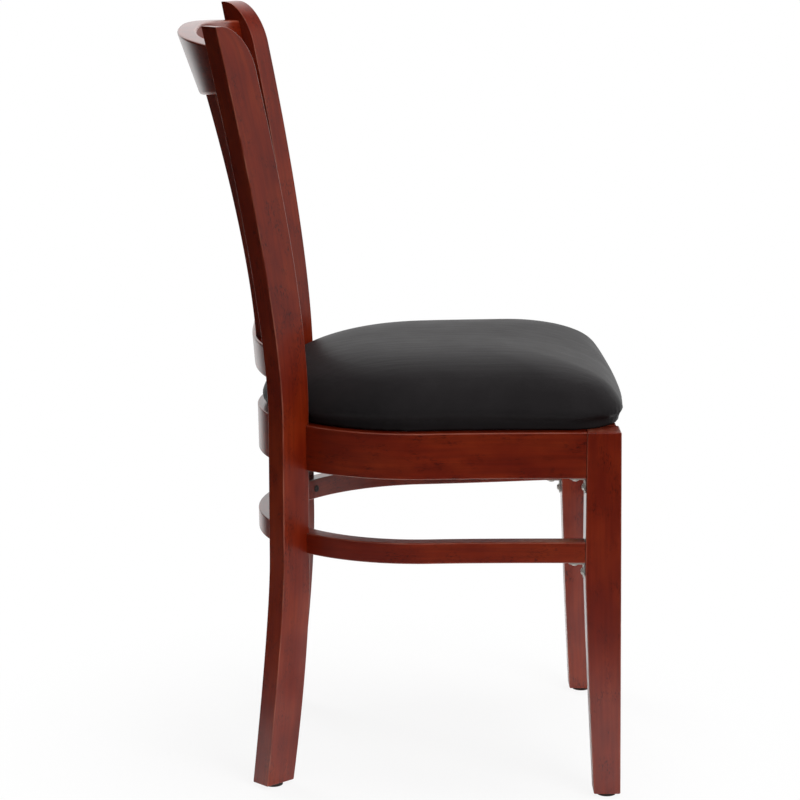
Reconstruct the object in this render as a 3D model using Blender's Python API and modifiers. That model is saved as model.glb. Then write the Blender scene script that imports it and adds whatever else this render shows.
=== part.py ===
"""Slat back restaurant chair: bentwood seat and stretcher hoops, curved posts and a crowned vinyl seat.

Sizes are in metres and the chair faces -Y. Everything behind the front legs is struck in plan from
one point, the centre of the hoops' rear arc, so that point is the working origin of the sizes below.
The empty named chair then moves the whole, so that the origin lies under the middle of the chair.
"""

import math

import bmesh
import bpy
from mathutils import Vector

# Fits
CLEARANCE = 0.0003
CUT_THROUGH = 0.004

# Whole chair
HEIGHT = 0.870
GLIDE_HEIGHT = 0.004
RAKE = math.atan(0.019)

# Rear posts: leg and back stile in one, set radially on the outside of the hoops
POST_ANGLE = math.radians(43)
POST_WIDTH = 0.0255
POST_RADIUS = 0.238
POST_DEPTH_FOOT = 0.0405
POST_DEPTH_SEAT = 0.039
POST_DEPTH_TOP = 0.0425
POST_BELLY = 0.003
POST_SPLAY = 0.0285
POST_LEAN = 0.0907
POST_LEG_KNEE = 0.201
POST_STRAIGHT_LOW = 0.264
POST_STRAIGHT_HIGH = 0.422
POST_BACK_KNEE = 0.546
POST_CROWN_WIDE = 0.035
POST_CROWN_TALL = 0.048
POST_CHAMFER = 0.0018

# Hoops: outer faces, shared by the seat hoop and the stretcher hoop
HOOP_HALF_WIDTH = 0.208
HOOP_REACH = 0.200
HOOP_FLARE_POWER = 1.5
HOOP_CHAMFER = 0.0018
SEAT_TOP = 0.420
SEAT_HOOP_HEIGHT = 0.0525
SEAT_HOOP_THICK = 0.022
STRETCHER_TOP = 0.295
STRETCHER_HEIGHT = 0.024
STRETCHER_THICK = 0.020

# Front legs and the rail between them
LEG_HALF_SPAN = 0.219
LEG_REAR = -0.172
LEG_WIDTH = 0.0385
LEG_DEPTH = 0.0385
LEG_FOOT_WIDTH = 0.030
LEG_FOOT_DEPTH = 0.030
LEG_FOOT_FORWARD = 0.0048
LEG_TAPER_TOP = 0.264
LEG_CHAMFER = 0.002
FRONT_RAIL_HEIGHT = 0.0525
FRONT_RAIL_THICK = 0.022
FRONT_RAIL_RECESS = 0.003

# Tenons of the hoops in the front legs
TENON_LENGTH = 0.014
TENON_THICK = 0.010
SEAT_TENON_SHOULDER = 0.009
STRETCHER_TENON_SHOULDER = 0.0045
TENON_CHAMFER = 0.001

# Back rails, bent less than the hoops, with tenons in the posts
RAIL_RECESS = 0.004
RAIL_BEND_POWER = 3
RAIL_CHAMFER = 0.002
RAIL_TENON_LENGTH = 0.012
RAIL_TENON_CHEEK = 0.005
RAIL_TENON_SHOULDER = 0.006
TOP_RAIL_REACH = 0.2865
TOP_RAIL_DROP = 0.015
TOP_RAIL_HEIGHT = 0.073
TOP_RAIL_ARCH = 0.014
TOP_RAIL_CROWN = 0.0065
TOP_RAIL_THICK = 0.022
TOP_RAIL_LEAN = math.radians(20)
LOWER_RAIL_REACH = 0.2045
LOWER_RAIL_RISE = 0.090
LOWER_RAIL_HEIGHT = 0.039
LOWER_RAIL_THICK = 0.018
LOWER_RAIL_LEAN = math.radians(4.6)

# Slats between the back rails
SLAT_COUNT = 5
SLAT_WIDTH = 0.025
SLAT_THICK = 0.0065
SLAT_CHAMFER = 0.0012
SLAT_TENON_LENGTH = 0.010
SLAT_TENON_SHOULDER = 0.004
SLAT_SEAT_FROM_REAR_LOW = 0.0100
SLAT_SEAT_FROM_REAR_TOP = 0.0118
SLAT_BOW_POWER = 1.16

# Seat: board, foam and cover on the hoop and the front rail
CUSHION_INSET = 0.0055
CUSHION_FRONT = 0.2222
CUSHION_BOW = 0.0067
CUSHION_CORNER = 0.060
CUSHION_CROWN = 0.0745
CUSHION_BULGE_HEIGHT = 0.006
CUSHION_TUCK = 0.0039
CUSHION_SIDE_POWER = 3.9
CUSHION_TOP_POWER = 1.76
CUSHION_PEAK_FORWARD = 0.009
COVER_THICK = 0.0012
COVER_LIP = 0.0146
BOARD_THICK = 0.012
DUST_COVER_THICK = 0.0006
DUST_COVER_MARGIN = 0.003

# Blocks inside the seat hoop
BLOCK_HEIGHT = 0.028
BLOCK_ARM = 0.060
REAR_BLOCK_ANGLE = math.radians(20)
REAR_BLOCK_HALF_ANGLE = math.radians(7)
REAR_BLOCK_THICK = 0.024
BLOCK_CHAMFER = 0.0015
BLOCK_FRONT_SCREW_SHARE = 0.42
BLOCK_SIDE_SCREW_SHARE = 0.62

# Hardware
SCREW_RADIUS = 0.0021
SCREW_HEAD_RADIUS = 0.0042
SCREW_HEAD_HEIGHT = 0.0026
SCREW_TIP = 0.004
HOOP_SCREW_LENGTH = 0.044
BLOCK_SCREW_LENGTH = 0.040
SEAT_SCREW_BITE = 0.009
BRACKET_SCREW_LENGTH = 0.013
SCREW_SINK = 0.0008
SEAT_HOOP_SCREW_DEPTHS = (0.014, 0.038)
DOWEL_RADIUS = 0.004
DOWEL_LENGTH = 0.030
DOWEL_DEPTHS = (0.015, 0.037)
BRACKET_ARM = 0.018
BRACKET_WIDTH = 0.014
BRACKET_THICK = 0.0015
BRACKET_HOLE = 0.0112
GLIDE_RADIUS = 0.011
GLIDE_EDGE = 0.0015
GLIDE_NAIL_RADIUS = 0.0015
GLIDE_NAIL_LENGTH = 0.014

# Facets
ARC_STEPS = 12
SIDE_STEPS = 4
POST_STEPS = 7
CROWN_STEPS = 6
RAIL_STEPS = 16
SLAT_STEPS = 7
CORNER_STEPS = 4
FRONT_STEPS = 3
CUSHION_STEPS = 6
TURN_STEPS = 10

RIGHT = -1
LEFT = 1
SIDE_NAMES = {RIGHT: "right", LEFT: "left"}

# Places that follow from the sizes above
FRONT_RAIL_FACE = LEG_REAR - LEG_DEPTH + FRONT_RAIL_RECESS
FRONT_RAIL_REAR = FRONT_RAIL_FACE + FRONT_RAIL_THICK
LEG_INNER = LEG_HALF_SPAN - LEG_WIDTH
LEG_TOP = SEAT_TOP - LEG_REAR * math.tan(RAKE)
TOP_RAIL_TOP = HEIGHT - TOP_RAIL_DROP
TOP_RAIL_BOTTOM = TOP_RAIL_TOP - TOP_RAIL_HEIGHT
LOWER_RAIL_TOP = SEAT_TOP + LOWER_RAIL_RISE
LOWER_RAIL_BOTTOM = LOWER_RAIL_TOP - LOWER_RAIL_HEIGHT
CHAIR_SHIFT = (CUSHION_FRONT - TOP_RAIL_REACH) / 2


def clear_scene():
    for obj in list(bpy.data.objects):
        bpy.data.objects.remove(obj, do_unlink=True)


def new_collection(name):
    collection = bpy.data.collections.new(name)
    bpy.context.scene.collection.children.link(collection)
    return collection


def new_material(name, colour, roughness, metallic=0.0):
    material = bpy.data.materials.new(name)
    material.use_nodes = True
    shader = material.node_tree.nodes["Principled BSDF"]
    shader.inputs["Base Color"].default_value = (*colour, 1)
    shader.inputs["Roughness"].default_value = roughness
    shader.inputs["Metallic"].default_value = metallic
    return material


def new_empty(name, parent=None, location=(0, 0, 0), tilt=0.0):
    empty = bpy.data.objects.new(name, None)
    PARTS.objects.link(empty)
    empty.parent = parent
    empty.location = location
    empty.rotation_euler.x = tilt
    return empty


def new_part(name, mesh, material, parent, smooth_angle=30):
    part = bpy.data.objects.new(name, mesh)
    PARTS.objects.link(part)
    part.parent = parent
    mesh.materials.clear()
    mesh.materials.append(material)
    mesh.shade_smooth()
    mesh.set_sharp_from_angle(angle=math.radians(smooth_angle))
    return part


def new_cutter(name, mesh, parent):
    cutter = bpy.data.objects.new("cut_" + name, mesh)
    CUTTERS.objects.link(cutter)
    cutter.parent = parent
    cutter.hide_render = True
    cutter.display_type = "WIRE"
    return cutter


def cut(parts, cutter):
    for part in parts:
        modifier = part.modifiers.new(cutter.name, "BOOLEAN")
        modifier.operation = "DIFFERENCE"
        modifier.solver = "EXACT"
        modifier.object = cutter


def lerp(first, last, share):
    return first + (last - first) * share


def steps(first, last, count):
    """count + 1 even steps from first to last."""
    return [lerp(first, last, i / count) for i in range(count + 1)]


def radial(angle):
    """Way out from the hoop centre, at an angle from straight back towards the chair's left."""
    return Vector((math.sin(angle), math.cos(angle), 0))


def sideways(angle):
    """Way round the hoop centre at that angle, towards the chair's left."""
    return Vector((math.cos(angle), -math.sin(angle), 0))


def raised(point, z):
    return Vector((point.x, point.y, z))


def chamfered(corners, chamfer):
    """The corners of a section, each cut off by the chamfer, or less where a side is short."""
    ring = []
    for i, corner in enumerate(corners):
        for other in (corners[i - 1], corners[(i + 1) % len(corners)]):
            edge = other - corner
            ring.append(corner + edge.normalized() * min(chamfer, 0.3 * edge.length))
    return ring


def mesh_from(name, bm):
    bmesh.ops.recalc_face_normals(bm, faces=bm.faces)
    mesh = bpy.data.meshes.new(name)
    bm.to_mesh(mesh)
    bm.free()
    return mesh


def loft(name, rings):
    """A closed solid through rings of as many points each, with flat ends."""
    bm = bmesh.new()
    loops = [[bm.verts.new(point) for point in ring] for ring in rings]
    for low, high in zip(loops, loops[1:]):
        for i in range(len(low)):
            bm.faces.new((low[i - 1], low[i], high[i], high[i - 1]))
    bm.faces.new(loops[0])
    bm.faces.new(loops[-1])
    return mesh_from(name, bm)


def section(outer, inner, low, high, chamfer):
    """Ring of an upright section between two plan points and two heights."""
    corners = [raised(outer, low), raised(outer, high), raised(inner, high), raised(inner, low)]
    return chamfered(corners, chamfer)


# Rear posts


def bow_share(z, start, knee, end):
    """Share along a bow from start to end that is bent at the knee, where it reaches height z."""
    square = end - 2 * knee + start
    linear = 2 * (knee - start)
    rest = start - z
    root = math.sqrt(linear * linear - 4 * square * rest)
    return -2 * rest / (linear + math.copysign(root, linear))


def post_outer(z):
    """Reach of a post's outer face from the hoop centre at height z."""
    if z > POST_STRAIGHT_HIGH:
        return POST_RADIUS + POST_LEAN * bow_share(z, POST_STRAIGHT_HIGH, POST_BACK_KNEE, HEIGHT) ** 2
    if z < POST_STRAIGHT_LOW:
        return POST_RADIUS + POST_SPLAY * bow_share(z, POST_STRAIGHT_LOW, POST_LEG_KNEE, 0) ** 2
    return POST_RADIUS


def post_depth(z):
    """Depth of a post at height z: the leg and the back are each a little deeper half way along."""
    if z > POST_STRAIGHT_HIGH:
        share = (z - POST_STRAIGHT_HIGH) / (HEIGHT - POST_STRAIGHT_HIGH)
        end_depth = POST_DEPTH_TOP
    else:
        share = max(0.0, 1 - z / POST_STRAIGHT_LOW)
        end_depth = POST_DEPTH_FOOT
    return lerp(POST_DEPTH_SEAT, end_depth, share) + POST_BELLY * 4 * share * (1 - share)


def post_mesh():
    """Post in its own plane: Y runs out from the hoop centre and X across the post.

    Its top is level at the back and falls to the inner face as a quarter of an ellipse.
    """
    crown_foot = HEIGHT - POST_CROWN_TALL
    levels = [(z, 0.0) for z in steps(GLIDE_HEIGHT + CLEARANCE, POST_STRAIGHT_LOW, POST_STEPS)]
    levels += [(z, 0.0) for z in steps(POST_STRAIGHT_HIGH, crown_foot, POST_STEPS)]
    for i in range(1, CROWN_STEPS + 1):
        turn = math.pi / 2 * i / CROWN_STEPS
        drop_in = POST_CROWN_WIDE * (1 - math.cos(turn))
        levels.append((crown_foot + POST_CROWN_TALL * math.sin(turn), drop_in))
    rings = []
    for z, drop_in in levels:
        outer = post_outer(z)
        inner = outer - post_depth(z) + drop_in
        half = POST_WIDTH / 2
        corners = [(-half, inner), (half, inner), (half, outer), (-half, outer)]
        rings.append(chamfered([Vector((x, y, z)) for x, y in corners], POST_CHAMFER))
    return loft("rear_post", rings)


def make_posts():
    posts = {}
    for side, side_name in SIDE_NAMES.items():
        post = new_part("rear_post_" + side_name, post_mesh(), MAHOGANY, CHAIR)
        post.rotation_euler.z = -side * POST_ANGLE
        posts[side] = post
    return posts


# Front legs


def leg_mesh(side):
    """Square leg, tapered on its two inner faces below the stretcher, with a front that steps forward."""
    rings = []
    for z in (GLIDE_HEIGHT + CLEARANCE, LEG_TAPER_TOP, LEG_TOP):
        taper = max(0.0, (LEG_TAPER_TOP - z) / LEG_TAPER_TOP)
        forward = LEG_FOOT_FORWARD * (LEG_TOP - z) / LEG_TOP
        front = LEG_REAR - LEG_DEPTH - forward
        rear = lerp(LEG_REAR, front + LEG_FOOT_DEPTH, taper)
        outer = side * LEG_HALF_SPAN
        inner = side * (LEG_HALF_SPAN - lerp(LEG_WIDTH, LEG_FOOT_WIDTH, taper))
        corners = [(outer, front), (outer, rear), (inner, rear), (inner, front)]
        rings.append(chamfered([Vector((x, y, z)) for x, y in corners], LEG_CHAMFER))
    return loft("front_leg", rings)


def make_legs():
    legs = {}
    for side, side_name in SIDE_NAMES.items():
        legs[side] = new_part("front_leg_" + side_name, leg_mesh(side), MAHOGANY, CHAIR)
    return legs


# Hoops


def hoop_arc(turn):
    """Point of the hoops' outer face on its rear arc, half an ellipse, and the way inwards there."""
    point = Vector((HOOP_HALF_WIDTH * math.sin(turn), HOOP_REACH * math.cos(turn), 0))
    outwards = Vector((math.sin(turn) / HOOP_HALF_WIDTH, math.cos(turn) / HOOP_REACH, 0))
    return point, -outwards.normalized()


def hoop_side(y):
    """Half width over the hoops' outer faces beside the seat, which flare out to the front legs."""
    share = min(1.0, max(0.0, y / LEG_REAR))
    return lerp(HOOP_HALF_WIDTH, LEG_HALF_SPAN, share**HOOP_FLARE_POWER)


def hoop_line():
    """Points of the hoops' outer face from the right leg to the left one, and the way inwards at each."""
    left = [hoop_arc(turn) for turn in steps(0, math.pi / 2, ARC_STEPS)]
    for y in steps(0, LEG_REAR + CLEARANCE, SIDE_STEPS)[1:]:
        left.append((Vector((hoop_side(y), y, 0)), Vector((-1, 0, 0))))
    mirror = Vector((-1, 1, 1))
    right = [(point * mirror, inwards * mirror) for point, inwards in left[1:]]
    return right[::-1] + left


def plumb(ring):
    """A ring in a raked plane, tipped so that it stands upright on the chair."""
    return [point - Vector((0, point.z * math.tan(RAKE), 0)) for point in ring]


def hoop_tenon(side, thick, height, shoulder, reach, grow=0.0):
    """Two upright rings of the tenon in a front leg, from the hoop's shoulder to its end."""
    middle = side * (LEG_HALF_SPAN - thick / 2)
    half = TENON_THICK / 2 + grow
    rings = []
    for y in (LEG_REAR + reach, LEG_REAR - TENON_LENGTH - grow):
        outer = Vector((middle + side * half, y, 0))
        inner = Vector((middle - side * half, y, 0))
        ring = section(outer, inner, shoulder - height - grow, grow - shoulder, TENON_CHAMFER)
        rings.append(plumb(ring))
    return rings


def hoop_mesh(name, thick, height, shoulder):
    """Hoop whose top lies at Z 0, with an upright shoulder and a tenon at each end."""
    body = []
    for point, inwards in hoop_line():
        body.append(section(point, point + inwards * thick, -height, 0, HOOP_CHAMFER))
    body = [plumb(body[0])] + body[1:-1] + [plumb(body[-1])]
    right = hoop_tenon(RIGHT, thick, height, shoulder, CLEARANCE)
    left = hoop_tenon(LEFT, thick, height, shoulder, CLEARANCE)
    return loft(name, right[::-1] + body + left)


def make_hoop(name, thick, height, shoulder, plane, posts, legs):
    """A hoop, the housings that it lies in on the posts and its mortises in the legs."""
    hoop = new_part(name, hoop_mesh(name, thick, height, shoulder), MAHOGANY, plane)
    housing = []
    for point, inwards in hoop_line():
        outer = point - inwards * CLEARANCE
        inner = point + inwards * thick
        housing.append(section(outer, inner, -height - CLEARANCE, CLEARANCE, HOOP_CHAMFER))
    cut(posts.values(), new_cutter(name + "_housing", loft(name, housing), plane))
    for side, side_name in SIDE_NAMES.items():
        mortise = loft(name, hoop_tenon(side, thick, height, shoulder, CUT_THROUGH, CLEARANCE))
        cut([legs[side]], new_cutter(f"{name}_mortise_{side_name}", mortise, plane))
    return hoop


def make_front_rail():
    """Rail between the front legs, under the front of the seat."""
    rings = []
    for side in (RIGHT, LEFT):
        x = side * (LEG_INNER - CLEARANCE)
        front = Vector((x, FRONT_RAIL_FACE, 0))
        rear = Vector((x, FRONT_RAIL_REAR, 0))
        rings.append(section(front, rear, -FRONT_RAIL_HEIGHT, 0, HOOP_CHAMFER))
    return new_part("front_seat_rail", loft("front_seat_rail", rings), MAHOGANY, SEAT_PLANE)


# Back rails and slats


def rail_turn(u):
    """Angle that a back rail has turned by at share u of its half length: as much as the post at its end."""
    return POST_ANGLE * u * abs(u) ** (RAIL_BEND_POWER - 2)


def rail_rear(u, z, middle, lean, top):
    """Plan point on a back rail's rear face: nearly straight at its middle, bent forward to the posts."""
    end = radial(POST_ANGLE) * (post_outer(z) - RAIL_RECESS)
    end -= sideways(POST_ANGLE) * (POST_WIDTH / 2 + CLEARANCE)
    middle_y = middle - math.tan(lean) * (top - z)
    return Vector((end.x * u, lerp(middle_y, end.y, abs(u) ** RAIL_BEND_POWER), 0))


def top_rail_rear(u, z):
    return rail_rear(u, z, TOP_RAIL_REACH, TOP_RAIL_LEAN, TOP_RAIL_TOP)


def lower_rail_rear(u, z):
    return rail_rear(u, z, LOWER_RAIL_REACH, LOWER_RAIL_LEAN, LOWER_RAIL_TOP)


def top_rail_low(u):
    return TOP_RAIL_BOTTOM + TOP_RAIL_ARCH * u * u


def top_rail_high(u):
    return TOP_RAIL_TOP - TOP_RAIL_CROWN * u * u


def lower_rail_low(_u):
    return LOWER_RAIL_BOTTOM


def lower_rail_high(_u):
    return LOWER_RAIL_TOP


def rail_point(u, z, rear, depth):
    """Point of a back rail at a depth inside its rear face."""
    return raised(rear(u, z) - radial(rail_turn(u)) * depth, z)


def rail_ring(u, rear, depths, low, high, along, chamfer):
    """Ring of a back rail at share u between two depths and two heights, moved along the rail by a length."""
    move = sideways(rail_turn(u)) * along
    first, last = depths
    corners = []
    for z, depth in ((low, first), (high, first), (high, last), (low, last)):
        corners.append(rail_point(u, z, rear, depth) + move)
    return chamfered(corners, chamfer)


def rail_tenon(side, rear, thick, low, high, start, grow=0.0):
    """Two rings of a back rail's tenon in a post."""
    depths = RAIL_TENON_CHEEK - grow, thick - RAIL_TENON_CHEEK + grow
    bottom = low(side) + RAIL_TENON_SHOULDER - grow
    top = high(side) - RAIL_TENON_SHOULDER + grow
    rings = []
    for length in (start, RAIL_TENON_LENGTH + grow):
        rings.append(rail_ring(side, rear, depths, bottom, top, side * length, TENON_CHAMFER))
    return rings


def make_back_rail(name, rear, thick, low, high, posts):
    body = []
    for u in steps(-1, 1, RAIL_STEPS):
        body.append(rail_ring(u, rear, (0, thick), low(u), high(u), 0, RAIL_CHAMFER))
    right = rail_tenon(RIGHT, rear, thick, low, high, 0)
    left = rail_tenon(LEFT, rear, thick, low, high, 0)
    rail = new_part(name, loft(name, right[::-1] + body + left), MAHOGANY, CHAIR)
    for side, side_name in SIDE_NAMES.items():
        mortise = loft(name, rail_tenon(side, rear, thick, low, high, -CUT_THROUGH, CLEARANCE))
        cut([posts[side]], new_cutter(f"{name}_mortise_{side_name}", mortise, CHAIR))
    return rail


def slat_turn(u):
    """Angle that a slat faces: to the hoop centre, as the posts do."""
    return POST_ANGLE * u


def slat_middle(u, z):
    """Middle of a slat at a height: bowed like the posts from one rail to the other, a little more at its head."""
    foot = rail_point(u, lower_rail_high(u), lower_rail_rear, SLAT_SEAT_FROM_REAR_LOW)
    head = rail_point(u, top_rail_low(u), top_rail_rear, SLAT_SEAT_FROM_REAR_TOP)
    share = (post_outer(z) - post_outer(foot.z)) / (post_outer(head.z) - post_outer(foot.z))
    return raised(lerp(foot, head, max(0.0, share) ** SLAT_BOW_POWER), z)


def slat_head_rise(u):
    """Rise of the top rail's arch for each metre across a slat at share u."""
    half_length = top_rail_rear(1, top_rail_low(1)).x
    return 2 * TOP_RAIL_ARCH * u * math.cos(slat_turn(u)) / half_length


def slat_ring(u, z, width, thick, rise=0.0):
    """Ring of a slat at a height, tipped across its width by a rise."""
    middle = slat_middle(u, z)
    across = raised(sideways(slat_turn(u)), rise) * width / 2
    through = radial(slat_turn(u)) * thick / 2
    corners = [middle - across - through, middle + across - through]
    corners += [middle + across + through, middle - across + through]
    return chamfered(corners, SLAT_CHAMFER)


def slat_tenon(u, heights, rise, grow=0.0):
    width = SLAT_WIDTH - 2 * SLAT_TENON_SHOULDER + 2 * grow
    return [slat_ring(u, z, width, SLAT_THICK + 2 * grow, rise) for z in heights]


def make_slats(lower_rail, top_rail):
    """Fanned slats with tenons in both rails; each head follows the arch of the top rail."""
    foot = LOWER_RAIL_TOP + CLEARANCE
    foot_end = LOWER_RAIL_TOP - SLAT_TENON_LENGTH
    for number in range(1, SLAT_COUNT + 1):
        u = 2 * number / (SLAT_COUNT + 1) - 1
        name = f"back_slat_{number}"
        head = top_rail_low(u) - CLEARANCE
        head_end = top_rail_low(u) + SLAT_TENON_LENGTH
        rise = slat_head_rise(u)
        levels = steps(foot, head, SLAT_STEPS)
        rings = slat_tenon(u, (foot_end, foot), 0)
        rings += [slat_ring(u, z, SLAT_WIDTH, SLAT_THICK) for z in levels[:-1]]
        rings.append(slat_ring(u, head, SLAT_WIDTH, SLAT_THICK, rise))
        rings += slat_tenon(u, (head, head_end), rise)
        new_part(name, loft(name, rings), MAHOGANY, CHAIR)
        low_cut = slat_tenon(u, (foot_end - CLEARANCE, foot + CUT_THROUGH), 0, CLEARANCE)
        high_cut = slat_tenon(u, (head - CUT_THROUGH, head_end + CLEARANCE), rise, CLEARANCE)
        cut([lower_rail], new_cutter(name + "_foot_mortise", loft(name, low_cut), CHAIR))
        cut([top_rail], new_cutter(name + "_head_mortise", loft(name, high_cut), CHAIR))


# Seat


def seat_outline():
    """Plan of the cushion at its widest: the hoops' plan drawn in, a bowed front and round corners."""
    left = []
    for turn in steps(0, math.pi / 2, ARC_STEPS):
        point, inwards = hoop_arc(turn)
        left.append(point + inwards * CUSHION_INSET)
    corner_y = CUSHION_BOW + CUSHION_CORNER - CUSHION_FRONT
    for y in steps(0, corner_y, SIDE_STEPS)[1:]:
        left.append(Vector((hoop_side(y) - CUSHION_INSET, y, 0)))
    corner_x = left[-1].x - CUSHION_CORNER
    for turn in steps(0, math.pi / 2, CORNER_STEPS)[1:]:
        x = corner_x + CUSHION_CORNER * math.cos(turn)
        left.append(Vector((x, corner_y - CUSHION_CORNER * math.sin(turn), 0)))
    for x in steps(corner_x, 0, FRONT_STEPS)[1:]:
        left.append(Vector((x, CUSHION_BOW * (x / corner_x) ** 2 - CUSHION_FRONT, 0)))
    mirror = Vector((-1, 1, 1))
    right = [point * mirror for point in left[1:-1]]
    return left + right[::-1]


def seat_ring(share, z):
    """The cushion's outline drawn in to a share of its size, towards a peak in front of its middle."""
    middle = Vector((0, (HOOP_REACH - CUSHION_INSET - CUSHION_FRONT) / 2, 0))
    forward = Vector((0, CUSHION_PEAK_FORWARD * (1 - share * share), 0))
    return [raised(lerp(middle, point, share) - forward, z) for point in seat_outline()]


def inside(share, thick):
    """A share of the cushion's outline, less a thickness at its narrowest reach."""
    return share - thick / (HOOP_REACH - CUSHION_INSET)


def crown_levels(depth):
    """Levels of the cushion from its widest line to near its top, a depth under the surface.

    The section is a superellipse, with one power across and another up.
    """
    rise = CUSHION_CROWN - CUSHION_BULGE_HEIGHT - depth
    levels = []
    for turn in steps(0, math.pi / 2, CUSHION_STEPS)[:-1]:
        share = inside(math.cos(turn) ** (2 / CUSHION_SIDE_POWER), depth)
        levels.append((share, CUSHION_BULGE_HEIGHT + rise * math.sin(turn) ** (2 / CUSHION_TOP_POWER)))
    return levels


def domed(name, levels, tops):
    """A solid through the cushion's rings; each end is a point at a height in tops, or flat if None."""
    bm = bmesh.new()
    loops = [[bm.verts.new(point) for point in seat_ring(share, z)] for share, z in levels]
    for low, high in zip(loops, loops[1:]):
        for i in range(len(low)):
            bm.faces.new((low[i - 1], low[i], high[i], high[i - 1]))
    for loop, top in zip((loops[0], loops[-1]), tops):
        if top is None:
            bm.faces.new(loop)
            continue
        middle = bm.verts.new(raised(seat_ring(0, 0)[0], top))
        for i in range(len(loop)):
            bm.faces.new((loop[i - 1], loop[i], middle))
    return mesh_from(name, bm)


def make_seat():
    """Board, foam, cover turned in under the board, and dust cover, with the seat hoop's top at Z 0."""
    lip_low = CLEARANCE
    lip_high = lip_low + COVER_THICK
    board_low = lip_high + CLEARANCE
    board_high = board_low + BOARD_THICK
    edge = inside(1, CUSHION_TUCK)
    half_tuck = inside(1, CUSHION_TUCK / 3)
    lip_inner = inside(edge, COVER_LIP)
    tuck_middle = CUSHION_BULGE_HEIGHT / 3

    outer = [(lip_inner, lip_low), (edge, lip_low), (half_tuck, tuck_middle)] + crown_levels(0)
    inner = [(lip_inner, lip_high), (inside(edge, COVER_THICK), lip_high)]
    inner += [(inside(half_tuck, COVER_THICK), tuck_middle)] + crown_levels(COVER_THICK)
    tops = (CUSHION_CROWN, CUSHION_CROWN - COVER_THICK)
    cover = domed("seat_cover", outer[::-1] + inner, tops)
    new_part("seat_cover", cover, VINYL, SEAT_PLANE, 60)

    skin = COVER_THICK + 2 * CLEARANCE
    board_share = inside(edge, 2 * skin)
    board_rings = [seat_ring(board_share, z) for z in (board_low, board_high)]
    board = new_part("seat_board", loft("seat_board", board_rings), PLYWOOD, SEAT_PLANE)

    foam_levels = [(board_share, board_high + CLEARANCE)] + crown_levels(skin)
    foam = domed("seat_foam", foam_levels, (None, CUSHION_CROWN - skin))
    new_part("seat_foam", foam, FOAM, SEAT_PLANE, 60)

    dust_share = inside(lip_inner, DUST_COVER_MARGIN)
    dust_levels = (board_low - CLEARANCE - DUST_COVER_THICK, board_low - CLEARANCE)
    dust_rings = [seat_ring(dust_share, z) for z in dust_levels]
    dust_cover = new_part("dust_cover", loft("dust_cover", dust_rings), NONWOVEN, SEAT_PLANE)
    return board, dust_cover, board_low


# Blocks


def front_block_plan(side):
    """Corners of a front block, notched round the leg, with its long face across the corner."""
    arm = LEG_REAR + BLOCK_ARM
    back = LEG_REAR + CLEARANCE + BLOCK_HEIGHT * math.tan(RAKE)
    notch = LEG_INNER - CLEARANCE
    front = FRONT_RAIL_REAR + CLEARANCE
    plan = [
        (hoop_side(arm) - SEAT_HOOP_THICK - CLEARANCE, arm),
        (hoop_side(back) - SEAT_HOOP_THICK - CLEARANCE, back),
        (notch, back),
        (notch, front),
        (notch - BLOCK_ARM, front),
    ]
    return [Vector((side * x, y, 0)) for x, y in plan]


def make_blocks():
    """Corner blocks beside the front legs, and two blocks on the inside of the hoop's rear arc."""
    blocks = {}
    low, high = -BLOCK_HEIGHT, -CLEARANCE
    for side, side_name in SIDE_NAMES.items():
        name = "front_corner_block_" + side_name
        rings = [[raised(point, z) for point in front_block_plan(side)] for z in (low, high)]
        blocks["front", side] = new_part(name, loft(name, rings), BEECH, SEAT_PLANE)
        name = "rear_seat_block_" + side_name
        first = side * (REAR_BLOCK_ANGLE - REAR_BLOCK_HALF_ANGLE)
        last = side * (REAR_BLOCK_ANGLE + REAR_BLOCK_HALF_ANGLE)
        rings = []
        for turn in steps(first, last, SIDE_STEPS):
            point, inwards = hoop_arc(turn)
            outer = point + inwards * (SEAT_HOOP_THICK + 2 * CLEARANCE)
            rings.append(section(outer, outer + inwards * REAR_BLOCK_THICK, low, high, BLOCK_CHAMFER))
        blocks["rear", side] = new_part(name, loft(name, rings), BEECH, SEAT_PLANE)
    return blocks


# Hardware


def turned(name, profile):
    """A turned solid's object data: a profile from the axis at its top to the axis at its foot."""
    bm = bmesh.new()
    verts = [bm.verts.new((x, 0, z)) for x, z in profile]
    for first, second in zip(verts, verts[1:]):
        bm.edges.new((first, second))
    mesh = bpy.data.meshes.new(name)
    bm.to_mesh(mesh)
    bm.free()
    return mesh


def spin(obj):
    modifier = obj.modifiers.new("turn", "SCREW")
    modifier.steps = TURN_STEPS
    modifier.render_steps = TURN_STEPS
    modifier.use_merge_vertices = True
    modifier.merge_threshold = 0.00001


def aim(obj, at, way):
    """Places a turned piece with its head at a point and its foot along a way."""
    obj.location = at
    obj.rotation_euler = Vector((0, 0, -1)).rotation_difference(way).to_euler()


def screw_profile(length, round_head, grow=0.0, above=0.0):
    """Countersunk head under Z 0, or a round head above it, with the shank running down."""
    shank = SCREW_RADIUS + grow
    head = SCREW_HEAD_RADIUS + grow
    foot = [(shank, SCREW_TIP - length - grow), (0, -length - grow)]
    if round_head and grow:
        return [(0, above), (shank, above)] + foot
    if round_head:
        return [(0, SCREW_HEAD_HEIGHT), (head * 0.7, SCREW_HEAD_HEIGHT * 0.8), (head, 0), (shank, 0)] + foot
    return [(0, above), (head, above), (head, -grow), (shank, -SCREW_HEAD_HEIGHT - grow)] + foot


def drive_screw(name, at, way, length, into, parent, round_head=False, above=CUT_THROUGH):
    """A wood screw and its hole in each piece that it goes through or into."""
    profile = screw_profile(length, round_head)
    if not round_head:
        profile = [profile[0]] + profile[2:]
    screw = new_part(name, turned(name, profile), STEEL, parent)
    spin(screw)
    aim(screw, at, way)
    hole = new_cutter(name, turned(name, screw_profile(length, round_head, CLEARANCE, above)), parent)
    spin(hole)
    aim(hole, at, way)
    cut(into, hole)


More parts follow.
